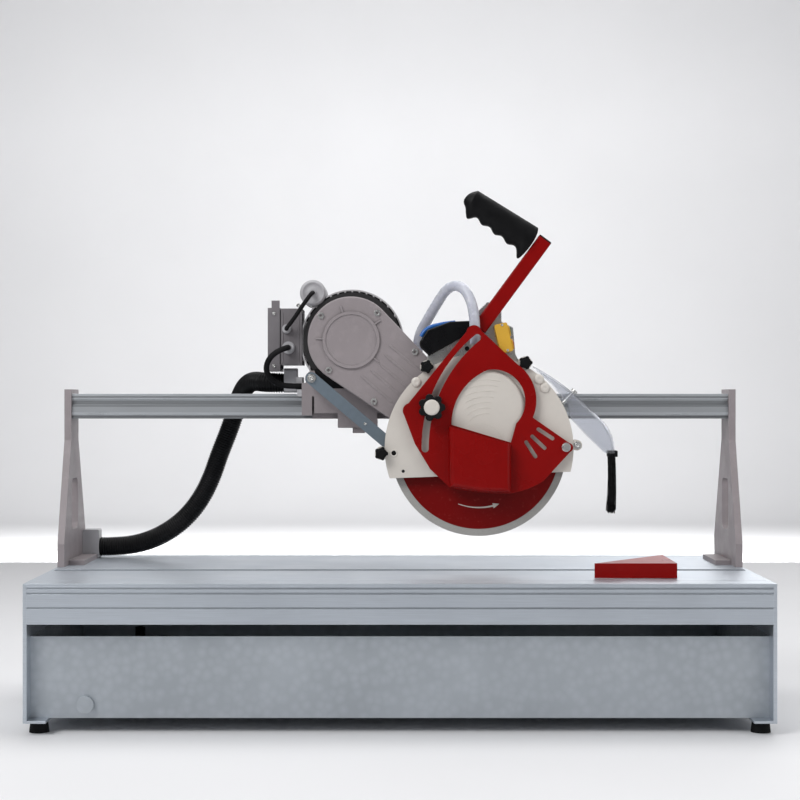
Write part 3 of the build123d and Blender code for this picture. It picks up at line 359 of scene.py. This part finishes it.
def galvanised(name, colour):
    """Hot-dip zinc: large crystals, dull and slightly blotched."""
    shader = Shader(name, colour, 0.42, metallic=0.75)
    crystals = shader.add("ShaderNodeTexVoronoi")
    crystals.inputs["Scale"].default_value = 70
    shader.feed(shader.place, crystals.inputs["Vector"])
    facet = shader.remap(crystals.outputs["Distance"], 0.0, 0.7)
    shader.blend(facet, tinted(colour, 0.78), 0.5)
    shader.blend(shader.noise(8, 5), tinted(colour, 1.2), 0.35)
    shader.roughen(facet, 0.14)
    shader.bump(shader.noise(140, 3), 0.05, 0.0004)
    return shader.done()


def turned_steel(name, colour, roughness=0.24):
    """Machined or zinc-plated steel, with worn edges that carry a painted highlight."""
    shader = Shader(name, colour, roughness, metallic=0.95)
    shader.blend(shader.noise(38, 5, low=0.45, high=0.7), tinted(colour, 0.65), 0.5)
    shader.roughen(shader.noise(120, 4), 0.16)
    shader.bump(shader.noise(800, 2), 0.06, 0.0003)
    return shader.edges(tinted(colour, 1.4), 0.5, 0.0006, -0.05).done()


def plastic(name, colour, roughness, grain=0.10, coat=0.0, dust=0.25):
    """Moulded plastic with fine texture, a dust film, painted shade in the corners and rubbed edges with
    a painted highlight.
    """
    shader = Shader(name, colour, roughness, specular=0.5, coat=coat)
    shader.blend(shader.noise(11, 5, low=0.45, high=0.72), tinted(colour, 1.25), dust)
    shader.blend(shader.noise(70, 5, low=0.50, high=0.75), tinted(colour, 0.82), dust)
    shader.roughen(shader.noise(30, 4), 0.12)
    shader.bump(shader.noise(900, 2), grain, 0.0003)
    shader.painted_corner_shade(tinted(colour, 0.55), 0.55, 0.008)
    return shader.edges(tinted(colour, 1.5), 0.30, 0.0008, 0.08).done()


def black_plastic(name, roughness, lift=5, grain=0.2):
    """Near-black moulding; the dust is lighter than the plastic, and the worn edges carry a painted
    highlight.
    """
    colour = srgb(lift, lift, lift + 2)
    shader = Shader(name, colour, roughness, specular=0.18)
    shader.blend(shader.noise(14, 6, low=0.52, high=0.80), srgb(44, 42, 44), 0.40)
    shader.roughen(shader.noise(40, 4), 0.18)
    shader.bump(shader.noise(650, 3), grain, 0.0004)
    return shader.edges(srgb(70, 68, 70), 0.40, 0.0010).done()


def milky_hose(name):
    """Translucent PVC tube."""
    colour = srgb(196, 198, 208)
    shader = Shader(name, colour, 0.22, specular=0.5)
    shader.bsdf.inputs["Subsurface Weight"].default_value = 0.35
    shader.bsdf.inputs["Subsurface Radius"].default_value = (0.006, 0.006, 0.009)
    shader.blend(shader.noise(24, 4), srgb(172, 176, 192), 0.5)
    shader.blend(shader.noise(150, 4, low=0.55, high=0.75), srgb(232, 234, 240), 0.4)
    shader.roughen(shader.noise(60, 4), 0.12)
    shader.bump(shader.noise(240, 3), 0.05, 0.0005)
    return shader.done()


def clear_sheet(name):
    """Clear flexible sheet, lightly scratched and sprayed with slurry."""
    shader = Shader(name, srgb(226, 228, 233), 0.08, specular=0.5)
    shader.bsdf.inputs["Transmission Weight"].default_value = 0.88
    shader.bsdf.inputs["IOR"].default_value = 1.12
    shader.blend(shader.noise(30, 6, low=0.50, high=0.80), srgb(240, 240, 240), 0.4)
    shader.roughen(shader.noise(75, 6, low=0.50, high=0.80), 0.22)
    shader.bump(shader.noise(30, 3), 0.04, 0.0010)
    return shader.done()


def blade_disc(name):
    """Saw blade: red printed core, bare ground rim, concentric grinding marks."""
    shader = Shader(name, srgb(118, 3, 3), 0.30, specular=0.14)
    radius = shader.radius(BLADE)
    shader.blend(shader.noise(12, 5), srgb(92, 6, 7), 0.5)
    shader.blend(shader.noise(160, 4, low=0.60, high=0.75), srgb(150, 60, 55), 0.5)
    rim = shader.remap(radius, 0.1378, 0.1384)
    shader.blend(rim, srgb(186, 184, 180))
    grit = shader.noise(1500, 2)
    band = shader.add("ShaderNodeMath", operation="MULTIPLY")
    shader.feed(rim, band.inputs[0])
    shader.feed(grit, band.inputs[1])
    shader.blend(band.outputs[0], srgb(120, 116, 112), 0.7)
    shader.roughen(rim, 0.28)
    shader.roughen(shader.noise(50, 4), 0.12)
    shader.bump(band.outputs[0], 0.5, 0.0003)
    return shader.done()


RED = srgb(132, 4, 3)
LOOKS = {
    "bench_aluminium": extruded("bench_aluminium", srgb(196, 203, 211)),
    "galvanised": galvanised("galvanised", srgb(176, 182, 188)),
    "steel": turned_steel("steel", srgb(200, 200, 198)),
    "casting": cast_paint("casting", srgb(146, 138, 140), srgb(190, 186, 186)),
    "motor_grey": cast_paint("motor_grey", srgb(116, 112, 115), srgb(170, 168, 170)),
    "black_plastic": black_plastic("black_plastic", 0.20, 10, 0.06),
    "matt_black": black_plastic("matt_black", 0.42),
    "grey_plastic": plastic("grey_plastic", srgb(176, 175, 178), 0.42),
    "ivory_plastic": plastic("ivory_plastic", srgb(208, 202, 194), 0.34, 0.14, 0.1, 0.18),
    "red_paint": gloss_paint("red_paint", RED, srgb(170, 90, 84)),
    "blade_red": blade_disc("blade_red"),
    "rubber": black_plastic("rubber", 0.58, 8, 0.35),
    "hose": milky_hose("hose"),
    "clear": clear_sheet("clear"),
    "yellow_plastic": plastic("yellow_plastic", srgb(216, 168, 52), 0.34),
    "green_plastic": plastic("green_plastic", srgb(70, 120, 70), 0.34),
    "red_plastic": plastic("red_plastic", srgb(176, 44, 38), 0.34),
    "blue_steel": galvanised("blue_steel", srgb(118, 130, 140)),
    "bronze": turned_steel("bronze", srgb(170, 132, 84), 0.34),
    "bristle": black_plastic("bristle", 0.62, 14, 0.3),
}
# Grooves and webs of the rail, painted darker as painted shade: from and to in height (mm), and how
# dark.
RAIL_SHADE_BANDS = [(533.5, 536, 0.35), (517, 528.5, 0.40), (508, 517, 0.62), (496.6, 502, 0.28)]
OWN_LOOKS = {
    "motor_housing": motor_paint("motor_paint", srgb(186, 184, 186)),
    "rail": rail_metal("rail_metal", srgb(214, 218, 222), RAIL_SHADE_BANDS),
}
for name, node in NODES.items():
    for index, old in enumerate(node.data.materials):
        node.data.materials[index] = OWN_LOOKS.get(name, LOOKS[old.name.split(".")[0]])


def dress(piece, look, body):
    """Gives a new piece its material and slot, and puts it on a body."""
    piece.data.materials.append(LOOKS[look])
    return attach(piece, body)


def skin(work, rows, around=True, caps=True):
    """Faces between each row of points and the next, and over the first and last row."""
    for a, b in zip(rows, rows[1:]):
        for side in range(len(a) if around else len(a) - 1):
            following = (side + 1) % len(a)
            work.faces.new((a[side], a[following], b[following], b[side]))
    if caps:
        work.faces.new(reversed(rows[0]))
        work.faces.new(rows[-1])


def placed(name, mesh, smooth=True):
    """An object of the scene that shows a mesh."""
    for face in mesh.polygons:
        face.use_smooth = smooth
    piece = bpy.data.objects.new(name, mesh)
    bpy.context.scene.collection.objects.link(piece)
    return piece


def mesh_of(curve):
    """The mesh that a curve gives; the curve itself is removed."""
    holder = bpy.data.objects.new("holder", curve)
    bpy.context.scene.collection.objects.link(holder)
    bpy.context.view_layer.update()
    mesh = bpy.data.meshes.new_from_object(holder)
    bpy.data.objects.remove(holder)
    bpy.data.curves.remove(curve)
    return mesh


def mesh_piece(name, work, smooth=True):
    """Turns a bmesh into an object of the scene."""
    mesh = bpy.data.meshes.new(name)
    work.to_mesh(mesh)
    work.free()
    return placed(name, mesh, smooth)


# ---------------------------------------------------------------- cords
TUBE_SIDES = 24
# Control points of each cord's route, in millimetres.
CONDUIT_ROUTE = [
    (-206, 112, 560.5), (-238, 112, 560.5), (-266, 138, 565), (-286, 176, 550), (-300, 196, 514),
    (-314, 197, 472), (-331, 195, 430), (-345, 197, 388), (-365, 198, 348), (-393, 201, 313),
    (-430, 205, 285), (-472, 210, 267), (-514, 212, 260), (-552, 212, 260),
]
MOTOR_CABLE_ROUTE = [
    (-196, 55, 621.5), (-196, 45, 621.5), (-203, 37, 619), (-216, 34, 613), (-228, 36, 602),
    (-234, 42, 588), (-232, 49, 574), (-223, 56, 563), (-209, 61, 556), (-193, 63, 554),
    (-172, 63, 554),
]
CAPACITOR_LEAD_ROUTE = [
    (-153, 59, 718), (-153, 50, 718), (-157, 45, 713), (-165, 43.5, 702), (-174, 43, 689),
    (-183, 43, 675), (-192, 43.5, 663), (-199, 47, 654.7), (-199, 55, 654.7),
]
HOSE_ROUTE = [
    (127.6, -40, 624), (127.6, -40, 648), (126, -39, 676), (120.5, -35, 701), (110, -24, 720),
    (95.5, -8, 727.5), (80, 12, 721), (67, 32, 702), (49, 52, 672), (31, 68, 640), (31, 68, 614),
]


def route_line(route):
    """The points of the smooth line that a route's control points give."""
    curve = bpy.data.curves.new("route", "CURVE")
    curve.dimensions = "3D"
    curve.resolution_u = 24
    spline = curve.splines.new("NURBS")
    spline.points.add(len(route) - 1)
    for point, place in zip(spline.points, route):
        point.co = (*(value * MM for value in place), 1.0)
    spline.order_u = 3
    spline.use_endpoint_u = True
    line = mesh_of(curve)
    points = [vertex.co.copy() for vertex in line.vertices]
    bpy.data.meshes.remove(line)
    return points


def line_length(points):
    """Length of the line through points."""
    return sum((b - a).length for a, b in zip(points, points[1:]))


def along(points, step):
    """Places spaced evenly along a line, each with its direction."""
    total = line_length(points)
    count = max(2, round(total / step))
    places = []
    travelled, index = 0.0, 0
    for number in range(count + 1):
        wanted = total * number / count
        while index < len(points) - 2:
            span = (points[index + 1] - points[index]).length
            if travelled + span >= wanted:
                break
            travelled += span
            index += 1
        start, end = points[index], points[index + 1]
        span = (end - start).length
        share = min(1.0, (wanted - travelled) / span)
        places.append((start.lerp(end, share), (end - start).normalized()))
    return places


def tube(name, points, radius, step, profile=None):
    """A swept tube; profile(number) gives the factor on the radius of that ring."""
    work = bmesh.new()
    places = along(points, step)
    across = places[0][1].orthogonal().normalized()
    rings = []
    for number, (centre, way) in enumerate(places):
        across = (across - way * across.dot(way)).normalized()
        other = way.cross(across)
        size = radius * (profile(number) if profile else 1.0)
        rings.append([work.verts.new(centre + size * (across * math.cos(a) + other * math.sin(a)))
                      for a in circle(TUBE_SIDES)])
    skin(work, rings)
    return mesh_piece(name, work)


def lay_cord(name, route, diameter, step, look, profile=None):
    """A cord on its route, with its material; it still has to be put on a body or baked in place."""
    points = route_line(route)
    piece = tube(name, points, diameter / 2, step, profile=profile)
    piece.data.materials.append(LOOKS[look])
    return piece, points


def corrugation(number):
    """Four rings to a ridge: crest, crest, root, root."""
    return (1.0, 1.0, 0.90, 0.90)[number % 4]


conduit, line = lay_cord("conduit_cord", CONDUIT_ROUTE, 0.035, 0.0011, "matt_black",
                         corrugation)
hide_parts("cable_conduit")
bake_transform(conduit)
cable, line = lay_cord("motor_cord", MOTOR_CABLE_ROUTE, 0.010, 0.002, "rubber")
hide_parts("motor_cable")
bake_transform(cable)
lead, line = lay_cord("capacitor_cord", CAPACITOR_LEAD_ROUTE, 0.0074, 0.002, "rubber")
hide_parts("capacitor_lead")
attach(lead, "arm")
hose, line = lay_cord("hose_cord", HOSE_ROUTE, 0.018, 0.003, "hose")
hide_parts("water_hose")
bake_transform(hose)


# ---------------------------------------------------------------- fine pieces
POINT = 0.02  # radius (mm) that closes a turned piece at its axis


def lofted(name, rings, body, look, closed=True):
    """A skin over rings that all have the same number of points."""
    work = bmesh.new()
    skin(work, [[work.verts.new(point) for point in ring] for ring in rings], caps=closed)
    bmesh.ops.recalc_face_normals(work, faces=work.faces)
    return dress(mesh_piece(name, work), look, body)


def turned(name, centre, profile, body, look, axis=(0, -1, 0), sides=40):
    """A turned piece: profile holds (distance along the axis, radius) in millimetres."""
    axis = Vector(axis).normalized()
    across = axis.orthogonal().normalized()
    other = axis.cross(across)
    spokes = [across * math.cos(angle) + other * math.sin(angle) for angle in circle(sides)]
    rings = [[centre + axis * distance * MM + spoke * max(radius, POINT) * MM for spoke in spokes]
             for distance, radius in profile]
    return lofted(name, rings, body, look)


def socket_screw(name, centre, radius, body, look="steel"):
    """A cap screw: rounded head with a recessed socket."""
    head = [(0, 1), (0.55, 1), (0.70, 0.88), (0.72, 0.55), (0.35, 0.50), (0.33, 0)]
    profile = [(radius * distance, radius * reach) for distance, reach in head]
    return turned(name, centre, profile, body, look, sides=24)


def ridge(name, points, radius, body, look):
    """A thin raised line through points."""
    curve = bpy.data.curves.new(name, "CURVE")
    curve.dimensions = "3D"
    curve.bevel_depth = radius
    curve.bevel_resolution = 3
    curve.use_fill_caps = True
    spline = curve.splines.new("BEZIER")
    spline.bezier_points.add(len(points) - 1)
    for knot, place in zip(spline.bezier_points, points):
        knot.co = place
        knot.handle_left_type = knot.handle_right_type = "AUTO"
    return dress(placed(name, mesh_of(curve)), look, body)


# The grip's own line starts at the handle tube; all in millimetres along or square to it.
GRIP_START, GRIP_END = 1.2, 139.9
GRIP_GROOVE = 26.6
GRIP_ABOVE = 27.2
GRIP_MIDDLE = 3


def grip_section(place):
    """Reach above and below the grip's line, that far (mm) from the end at the tube."""
    taper = 23.5 - 8.5 * (place - 20) / 90
    grooves = 2.4 * math.cos(math.tau * (place - 11.5) / GRIP_GROOVE)
    finger_stop = 9.5 * swell(place, 9.5, 6.5)
    butt = 6.5 * swell(place, 118.5, 8)
    below = taper + grooves + finger_stop + butt
    near_foot = max(0.0, 1 - (place - GRIP_START) / 7)
    rounding = math.sqrt(max(0.0, 1 - near_foot ** 2))
    tip = min(1.0, max(0.0, (GRIP_END - place) / 13))
    above_line = GRIP_MIDDLE + (GRIP_ABOVE - GRIP_MIDDLE) * rounding * tip ** 0.42
    below_line = GRIP_MIDDLE - (below + GRIP_MIDDLE) * rounding * tip ** 0.55
    return above_line, below_line


def handle_grip():
    """Moulded grip: oval, with finger grooves below and a finger stop at the tube."""
    low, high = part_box("handle_grip")
    tilt = math.radians(31.6)
    way = Vector((-math.cos(tilt), 0, math.sin(tilt)))
    up = Vector((math.sin(tilt), 0, math.cos(tilt)))
    foot = at_blade(93.7, 349.6, (low.y + high.y) / 2)
    rows, squareness = 130, 0.82
    rings = []
    for row in range(rows + 1):
        place = 1.25 + 138.6 * (0.5 - 0.5 * math.cos(math.pi * row / rows))
        above, below = grip_section(place)
        middle, half = (above + below) / 2, (above - below) / 2
        across = min(16.0, 5.0 + 0.54 * half, 1.2 * half)
        rings.append([foot + way * place * MM + up * (middle + half * math.sin(angle)) * MM
                      + Vector((0, squared(math.cos(angle), squareness) * across * MM, 0))
                      for angle in circle(44)])
    grip = lofted("grip", rings, "guard", "matt_black")
    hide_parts("handle_grip")


def inlet_flap():
    """Blue spring flap of the inlet, along the control box's upper left edge."""
    edge = ((-98, 190), (-92.6, 198.5), (-83.2, 205.5), (-64.4, 211.0), (-39.4, 214.5))
    points = [at_blade(x, z, -21 * MM) for x, z in edge]
    flap = ridge("inlet_flap", points, 3.6 * MM, "guard", "black_plastic")
    flap.data.materials[0] = plastic("blue_plastic", srgb(28, 96, 172), 0.28)


def switch_details():
    """Collars round the switch's buttons and its corner screws."""
    tilt = math.radians(13.0)
    outward = Vector((math.cos(tilt), 0, math.sin(tilt)))
    upward = Vector((-math.sin(tilt), 0, math.cos(tilt)))
    centre = at_blade(42.0, 187.0, -28.5 * MM)
    collar = [(0, 9.6), (2.6, 9.4), (3.2, 8.8), (3.2, 7.7), (0.2, 7.6), (0.1, 7.4)]
    for number, rise in enumerate((10.0, -13.0)):
        place = centre + outward * 11 * MM + upward * rise * MM
        turned(f"button_collar_{number + 1}", place, collar, "guard", "yellow_plastic", outward)
    for number, rise in enumerate((22.0, -22.0)):
        place = centre + upward * rise * MM + outward * 2 * MM + Vector((0, -17.5 * MM, 0))
        socket_screw(f"switch_screw_{number + 1}", place, 2.2, "guard")


def bristle(work, root, tip, lean):
    """One bristle: a thin three-sided thread, bowed a little and finer at its tip."""
    thickness, parts = 0.00042, 5
    rings = []
    for part in range(parts + 1):
        share = part / parts
        bow = 0.0012 * math.sin(share * 3.0 + lean * 2)
        x = root.x + (tip.x - root.x) * share ** 1.6 + bow
        y = root.y + (tip.y - root.y) * share
        z = root.z + (tip.z - root.z) * share
        size = thickness * (1 - 0.35 * share)
        rings.append([work.verts.new((x + size * math.cos(a), y + size * math.sin(a), z))
                      for a in circle(3)])
    skin(work, rings)


def bristles():
    """Brush of separate bristles that hangs from the flap, gathered into a few tufts."""
    low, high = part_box("brush_strip")
    chance = random.Random(7)
    work = bmesh.new()
    tufts, bristles_each, side_margin = 9, 42, 0.0006
    for tuft in range(tufts):
        tuft_y = low.y + (high.y - low.y) * (0.08 + 0.84 * tuft / (tufts - 1))
        lean = chance.uniform(-1, 1)
        for _ in range(bristles_each):
            root_x = high.x - 0.004 - chance.uniform(0, 0.010)
            root_y = tuft_y + chance.gauss(0, 0.0008)
            tip_x = root_x - 0.0005 + lean * 0.0055 + chance.gauss(0, 0.0013)
            tip_y = root_y + chance.gauss(0, 0.0012)
            tip_x = min(max(tip_x, low.x + 0.001), high.x - side_margin)
            tip_y = min(max(tip_y, low.y + side_margin), high.y - side_margin)
            tip_z = low.z + chance.uniform(0.0, 0.007)
            bristle(work, Vector((root_x, root_y, high.z)), Vector((tip_x, tip_y, tip_z)), lean)
    brush = dress(mesh_piece("bristles", work), "bristle", "guard")
    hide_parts("brush_strip")


def brush_clamp():
    """Dark strip that holds the bristles' roots at the flap's tip."""
    low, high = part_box("brush_strip")
    bulge = 0.0008
    rings = []
    for rise, spread in ((-0.006, 0.0), (-0.005, bulge), (0.004, bulge), (0.0048, 0.0)):
        z = high.z + rise
        x0, x1 = high.x - 0.0155 - spread, high.x - 0.0015 + spread
        y0, y1 = low.y + 0.0026 - spread, high.y - 0.0026 + spread
        rings.append([Vector(p) for p in ((x0, y0, z), (x1, y0, z), (x1, y1, z), (x0, y1, z))])
    lofted("brush_clamp", rings, "guard", "bristle")


def guard_details():
    """Marks of the guard's moulding, its screw bosses, the eyelet, black discs painted as the shade
    inside the eyelet and a hole, and the lug's screw.
    """
    for number in range(7):
        middle = 92 + 3 * number
        spread = 17 + 1.5 * number
        angles = [middle - spread + 2 * spread * part / 8 for part in range(9)]
        points = arc((12, 20), 96 - 9.5 * number, angles, DOME_Y + 0.1 * MM)
        ridge(f"dome_line_{number + 1}", points, 0.7 * MM, "guard", "ivory_plastic")
    hub = arc((0, 0), 36.5, range(20, 166, 6), DOME_Y - 0.3 * MM)
    ridge("hub_ring", hub, 0.8 * MM, "guard", "ivory_plastic")
    boss = [(0, 8.6), (1.4, 8.3), (2.8, 7.0), (3.4, 4.6), (3.5, 3.0), (3.1, 2.4), (3.0, 0)]
    for number, place in enumerate(((-106.6, 111.8), (101.4, 116.8), (111.3, 102.0))):
        turned(f"guard_boss_{number + 1}", at_blade(*place, GUARD_FACE_Y), boss,
               "guard", "ivory_plastic")
    eyelet = at_blade(-144.5, -8.2, GUARD_FACE_Y)
    turned("guard_eyelet", eyelet, [(0, 6.8), (0.9, 6.6), (1.3, 5.8), (1.2, 4.2), (0.3, 4.0), (0.2, 0)],
           "guard", "ivory_plastic")
    # Black disc: painted shade inside the eyelet's hole.
    turned("eyelet_hole_shade", eyelet, [(0, 4.1), (0.45, 4.1), (0.5, 0)], "guard", "matt_black")
    # Black disc: painted shade inside a hole in the guard.
    turned("guard_hole_shade", at_blade(-128.6, -38.9, GUARD_FACE_Y), [(0, 2.8), (0.25, 2.6), (0.3, 0)],
           "guard", "matt_black")
    socket_screw("lug_screw", at_blade(165.6, 5.2, GUARD_FACE_Y - 3.9 * MM), 4.4, "guard")


def cover_details():
    """The washer on the cover's pivot and the pale cap of the cover's knob."""
    washer = [(0, 7.6), (0.5, 7.6), (0.6, 6.6), (0.6, 0)]
    turned("pivot_washer", at_blade(146.4, 1.9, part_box("cover_plate")[0].y), washer, "cover", "steel")
    cap = [(0, 13.2), (0.6, 13.2), (1.6, 12.6), (2.3, 11.0), (2.7, 8.0), (2.8, 0)]
    turned("knob_cap", at_blade(-80.9, 69.2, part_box("cover_knob")[0].y), cap,
           "cover_knob", "ivory_plastic")


def knob_collars():
    """A shallow dished face on each small clamping knob."""
    dish = [(0, 6.6), (0.5, 6.5), (0.8, 5.6), (0.4, 4.0), (0.3, 0)]
    for name in ("guard_knob_left", "guard_knob_right", "guard_knob_side"):
        turned(name + "_cap", front_middle(name), dish, name, "matt_black")


def capacitor_details():
    """Moulded end cap of the capacitor and the screw of its clamp."""
    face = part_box("capacitor")[0].y + 3 * MM
    cap = [(0, 20.8), (1.3, 20.6), (1.9, 19.4), (1.9, 17.0),
           (0.7, 16.4), (0.7, 9.0), (1.2, 8.4), (1.2, 6.1)]
    turned("capacitor_cap", at_motor(-69, 85, face), cap, "arm", "grey_plastic")
    socket_screw("clamp_screw", at_motor(-94.5, 63, face - 1 * MM), 3.6, "arm")


def upright(name, x, y, low_z, high_z, radius, look):
    """A straight raised line up the arm's front."""
    ridge(name, [Vector((x, y, low_z)), Vector((x, y, high_z))], radius, "arm", look)


def terminal_details():
    """Screws and gasket line of the terminal box's lid, and two ribs on the box."""
    low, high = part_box("terminal_lid")
    for number, z in enumerate((low.z + 9 * MM, high.z - 23 * MM)):
        place = Vector(((low.x + high.x) / 2, low.y, z))
        socket_screw(f"lid_screw_{number + 1}", place, 3.0, "arm")
    upright("lid_gasket", high.x, low.y - 0.1 * MM, low.z + 12 * MM, high.z - 16 * MM,
            0.8 * MM, "rubber")
    low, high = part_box("terminal_box")
    inset = 5 * MM
    for number, x in enumerate((low.x + inset, high.x - inset)):
        upright(f"box_rib_{number + 1}", x, low.y, low.z + inset, high.z - inset, 0.9 * MM, "motor_grey")


def casing_details():
    """Raised bead round the casing's boss."""
    radius, face = 42.5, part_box("casing_screws")[0].y + 1.2 * MM
    bead = [at_motor(radius * math.cos(a), radius * math.sin(a), face) for a in circle(36) + [math.tau]]
    ridge("boss_bead", bead, 0.9 * MM, "arm", "casting")


def casting_ribs():
    """Raised ribs of the casing, which run from the motor towards the blade."""
    reach = BLADE - MOTOR
    along = Vector((reach.x, 0, reach.z)).normalized()
    across = Vector((-along.z, 0, along.x))
    count, spacing, start, end = 5, 18, 59, 126
    for number in range(count):
        aside = (number - count // 2) * spacing
        places = [MOTOR + (along * place + across * aside) * MM for place in (start, end)]
        line = [Vector((place.x, CASING_FACE_Y, place.z)) for place in places]
        ridge(f"casting_rib_{number + 1}", line, 0.8 * MM, "arm", "casting")


def fin_shade_ring():
    """Dark ring set between the front ends of the motor's cooling fins as painted shade in the gaps
    between them.
    """
    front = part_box("motor_housing")[0].y
    section = ((80.0, 16), (89.6, 16), (90.0, 17), (90.0, 30), (80.0, 30))
    rings = [[at_motor(radius * math.cos(a), radius * math.sin(a), front + depth * MM)
              for a in circle(96)] for radius, depth in section]
    lofted("fin_shade_ring", rings, "arm", "rubber", closed=False)


def dark_pad():
    """Thin dark sheet on the carriage's plate, under the arm."""
    outline = [(-66, -50), (-50, -44), (0, -74), (0, -83), (-45.4, -83), (-61, -67)]
    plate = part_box("carriage_body")[0].y
    rings = [[at_motor(x, z, plate - rise * MM) for x, z in outline] for rise in (-0.1, 0.4, 0.8)]
    lofted("dark_pad", rings, "carriage", "rubber")


def link_details():
    """Screw on the link's upper pin and a rivet part of the way down the bar."""
    socket_screw("link_screw", front_middle("link_pin"), 4.2, "carriage")
    low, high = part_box("link_bar")
    share = 0.43
    place = Vector((low.x + share * (high.x - low.x), low.y, high.z - share * (high.z - low.z)))
    socket_screw("link_rivet", place, 2.4, "link")


def tube_plug():
    """Black plug that closes the handle tube's upper end."""
    angle = math.radians(53.6)
    way = Vector((math.cos(angle), 0, math.sin(angle)))
    across = Vector((-way.z, 0, way.x))
    low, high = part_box("handle_tube")
    tube_length, squareness = 188, 0.25
    centre = at_blade(1.7, 203.7, (low.y + high.y) / 2) + way * tube_length * MM
    half_width, half_depth = 12.5, (high.y - low.y) / 2 / MM
    rings = []
    for distance, inset in ((0, 0.0), (1.6, 0.0), (2.6, 0.8), (2.9, 2.2)):
        ring = []
        for a in circle(32):
            side = squared(math.cos(a), squareness) * (half_width - inset)
            depth = squared(math.sin(a), squareness) * (half_depth - inset)
            ring.append(centre + way * distance * MM + across * side * MM + Vector((0, depth * MM, 0)))
        rings.append(ring)
    lofted("tube_plug", rings, "guard", "matt_black")


def blade_arrow():
    """Printed arrow that shows which way the blade turns."""
    radius, half_width, half_head = 101.5, 1.5, 4.6
    start, sweep, head_sweep, steps = -110, 34, 6.2, 20

    work = bmesh.new()

    def on_face(distance, angle):
        """A new corner of the print, that far from the blade's axis."""
        return work.verts.new(at_blade(distance * math.cos(angle), distance * math.sin(angle),
                                       BLADE_LOW.y - 0.08 * MM))

    rows = []
    for step in range(steps + 1):
        angle = math.radians(start + sweep * step / steps)
        half = half_width * (0.35 + 0.65 * step / steps)
        rows.append([on_face(radius - half, angle), on_face(radius + half, angle)])
    skin(work, rows, around=False, caps=False)
    neck = math.radians(start + sweep)
    work.faces.new([on_face(radius - half_head, neck), on_face(radius + half_head, neck),
                    on_face(radius, neck + math.radians(head_sweep))])
    dress(mesh_piece("blade_arrow", work, False), "ivory_plastic", "blade")


def bracket_details():
    """Black bolts that hold the handle's bracket to the guard."""
    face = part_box("handle_bracket")[0].y
    for number, (x, z) in enumerate(((-19, 170), (52, 198), (26, 232))):
        socket_screw(f"bracket_bolt_{number + 1}", at_blade(x, z, face), 4.0, "guard", "matt_black")


handle_grip()
capacitor_details()
terminal_details()
casing_details()
casting_ribs()
fin_shade_ring()
dark_pad()
link_details()
tube_plug()
blade_arrow()
bracket_details()
inlet_flap()
switch_details()
bristles()
brush_clamp()
guard_details()
cover_details()
knob_collars()


# ---------------------------------------------------------------- floor, light and camera
def soft_light(name, place, target, width, height, power):
    """A white area light that faces a target."""
    data = bpy.data.lights.new(name, "AREA")
    data.shape = "RECTANGLE"
    data.size, data.size_y = width, height
    data.energy = power
    light = bpy.data.objects.new(name, data)
    bpy.context.scene.collection.objects.link(light)
    light.location = place
    light.rotation_mode = "QUATERNION"
    light.rotation_quaternion = (Vector(target) - Vector(place)).to_track_quat("-Z", "Y")


def pale_floor():
    """A floor that curves up into a backdrop behind the object."""
    shader = Shader("pale_floor", (0.80, 0.80, 0.81, 1.0), 0.75, specular=0.2)
    shader.blend(shader.noise(1.5, 3), (0.76, 0.76, 0.77, 1.0), 0.4)
    shader.bump(shader.noise(60, 3), 0.02, 0.001)
    work = bmesh.new()
    bend, back, reach, steps = 2.0, 4.5, 14.0, 16
    profile = [(-reach, 0.0), (back, 0.0)]
    for step in range(1, steps + 1):
        angle = math.pi / 2 * step / steps
        profile.append((back + bend * math.sin(angle), bend * (1 - math.cos(angle))))
    profile.append((back + bend, reach))
    rows = [[work.verts.new((x, y, z)) for x in (-reach, reach)] for y, z in profile]
    skin(work, rows, around=False, caps=False)
    floor = mesh_piece("floor", work)
    floor.data.materials.append(shader.done())


pale_floor()
soft_light("key", (-1.9, -2.4, 2.7), (0, 0, 0.5), 1.8, 1.8, 80)
soft_light("fill", (2.6, -2.0, 1.5), (0, 0, 0.5), 1.4, 2.2, 22)
soft_light("top", (0.2, 0.4, 2.6), (0, 0, 0.4), 2.6, 1.6, 42)
soft_light("rear", (1.4, 3.0, 2.2), (0, 0, 0.5), 1.6, 1.6, 22)
soft_light("backdrop", (0, 2.6, 0.4), (0, 6.5, 1.6), 4.0, 1.0, 150)

world = bpy.data.worlds.new("pale_world")
world.use_nodes = True
sky = world.node_tree.nodes["Background"]
sky.inputs["Color"].default_value = (0.95, 0.96, 1.0, 1.0)
sky.inputs["Strength"].default_value = 0.24
bpy.context.scene.world = world
bpy.context.scene.view_settings.view_transform = "Standard"

# A level camera, straight in front of the saw.
CAMERA_AWAY, CAMERA_UP, CAMERA_LENS = 3.030, 0.5297, 79.18
camera_data = bpy.data.cameras.new("camera")
camera_data.lens = CAMERA_LENS
camera_data.sensor_width = 36.0
camera = bpy.data.objects.new("camera", camera_data)
bpy.context.scene.collection.objects.link(camera)
camera.location = (0.0, -CAMERA_AWAY, CAMERA_UP)
camera.rotation_euler = (math.radians(90), 0, 0)
bpy.context.scene.camera = camera
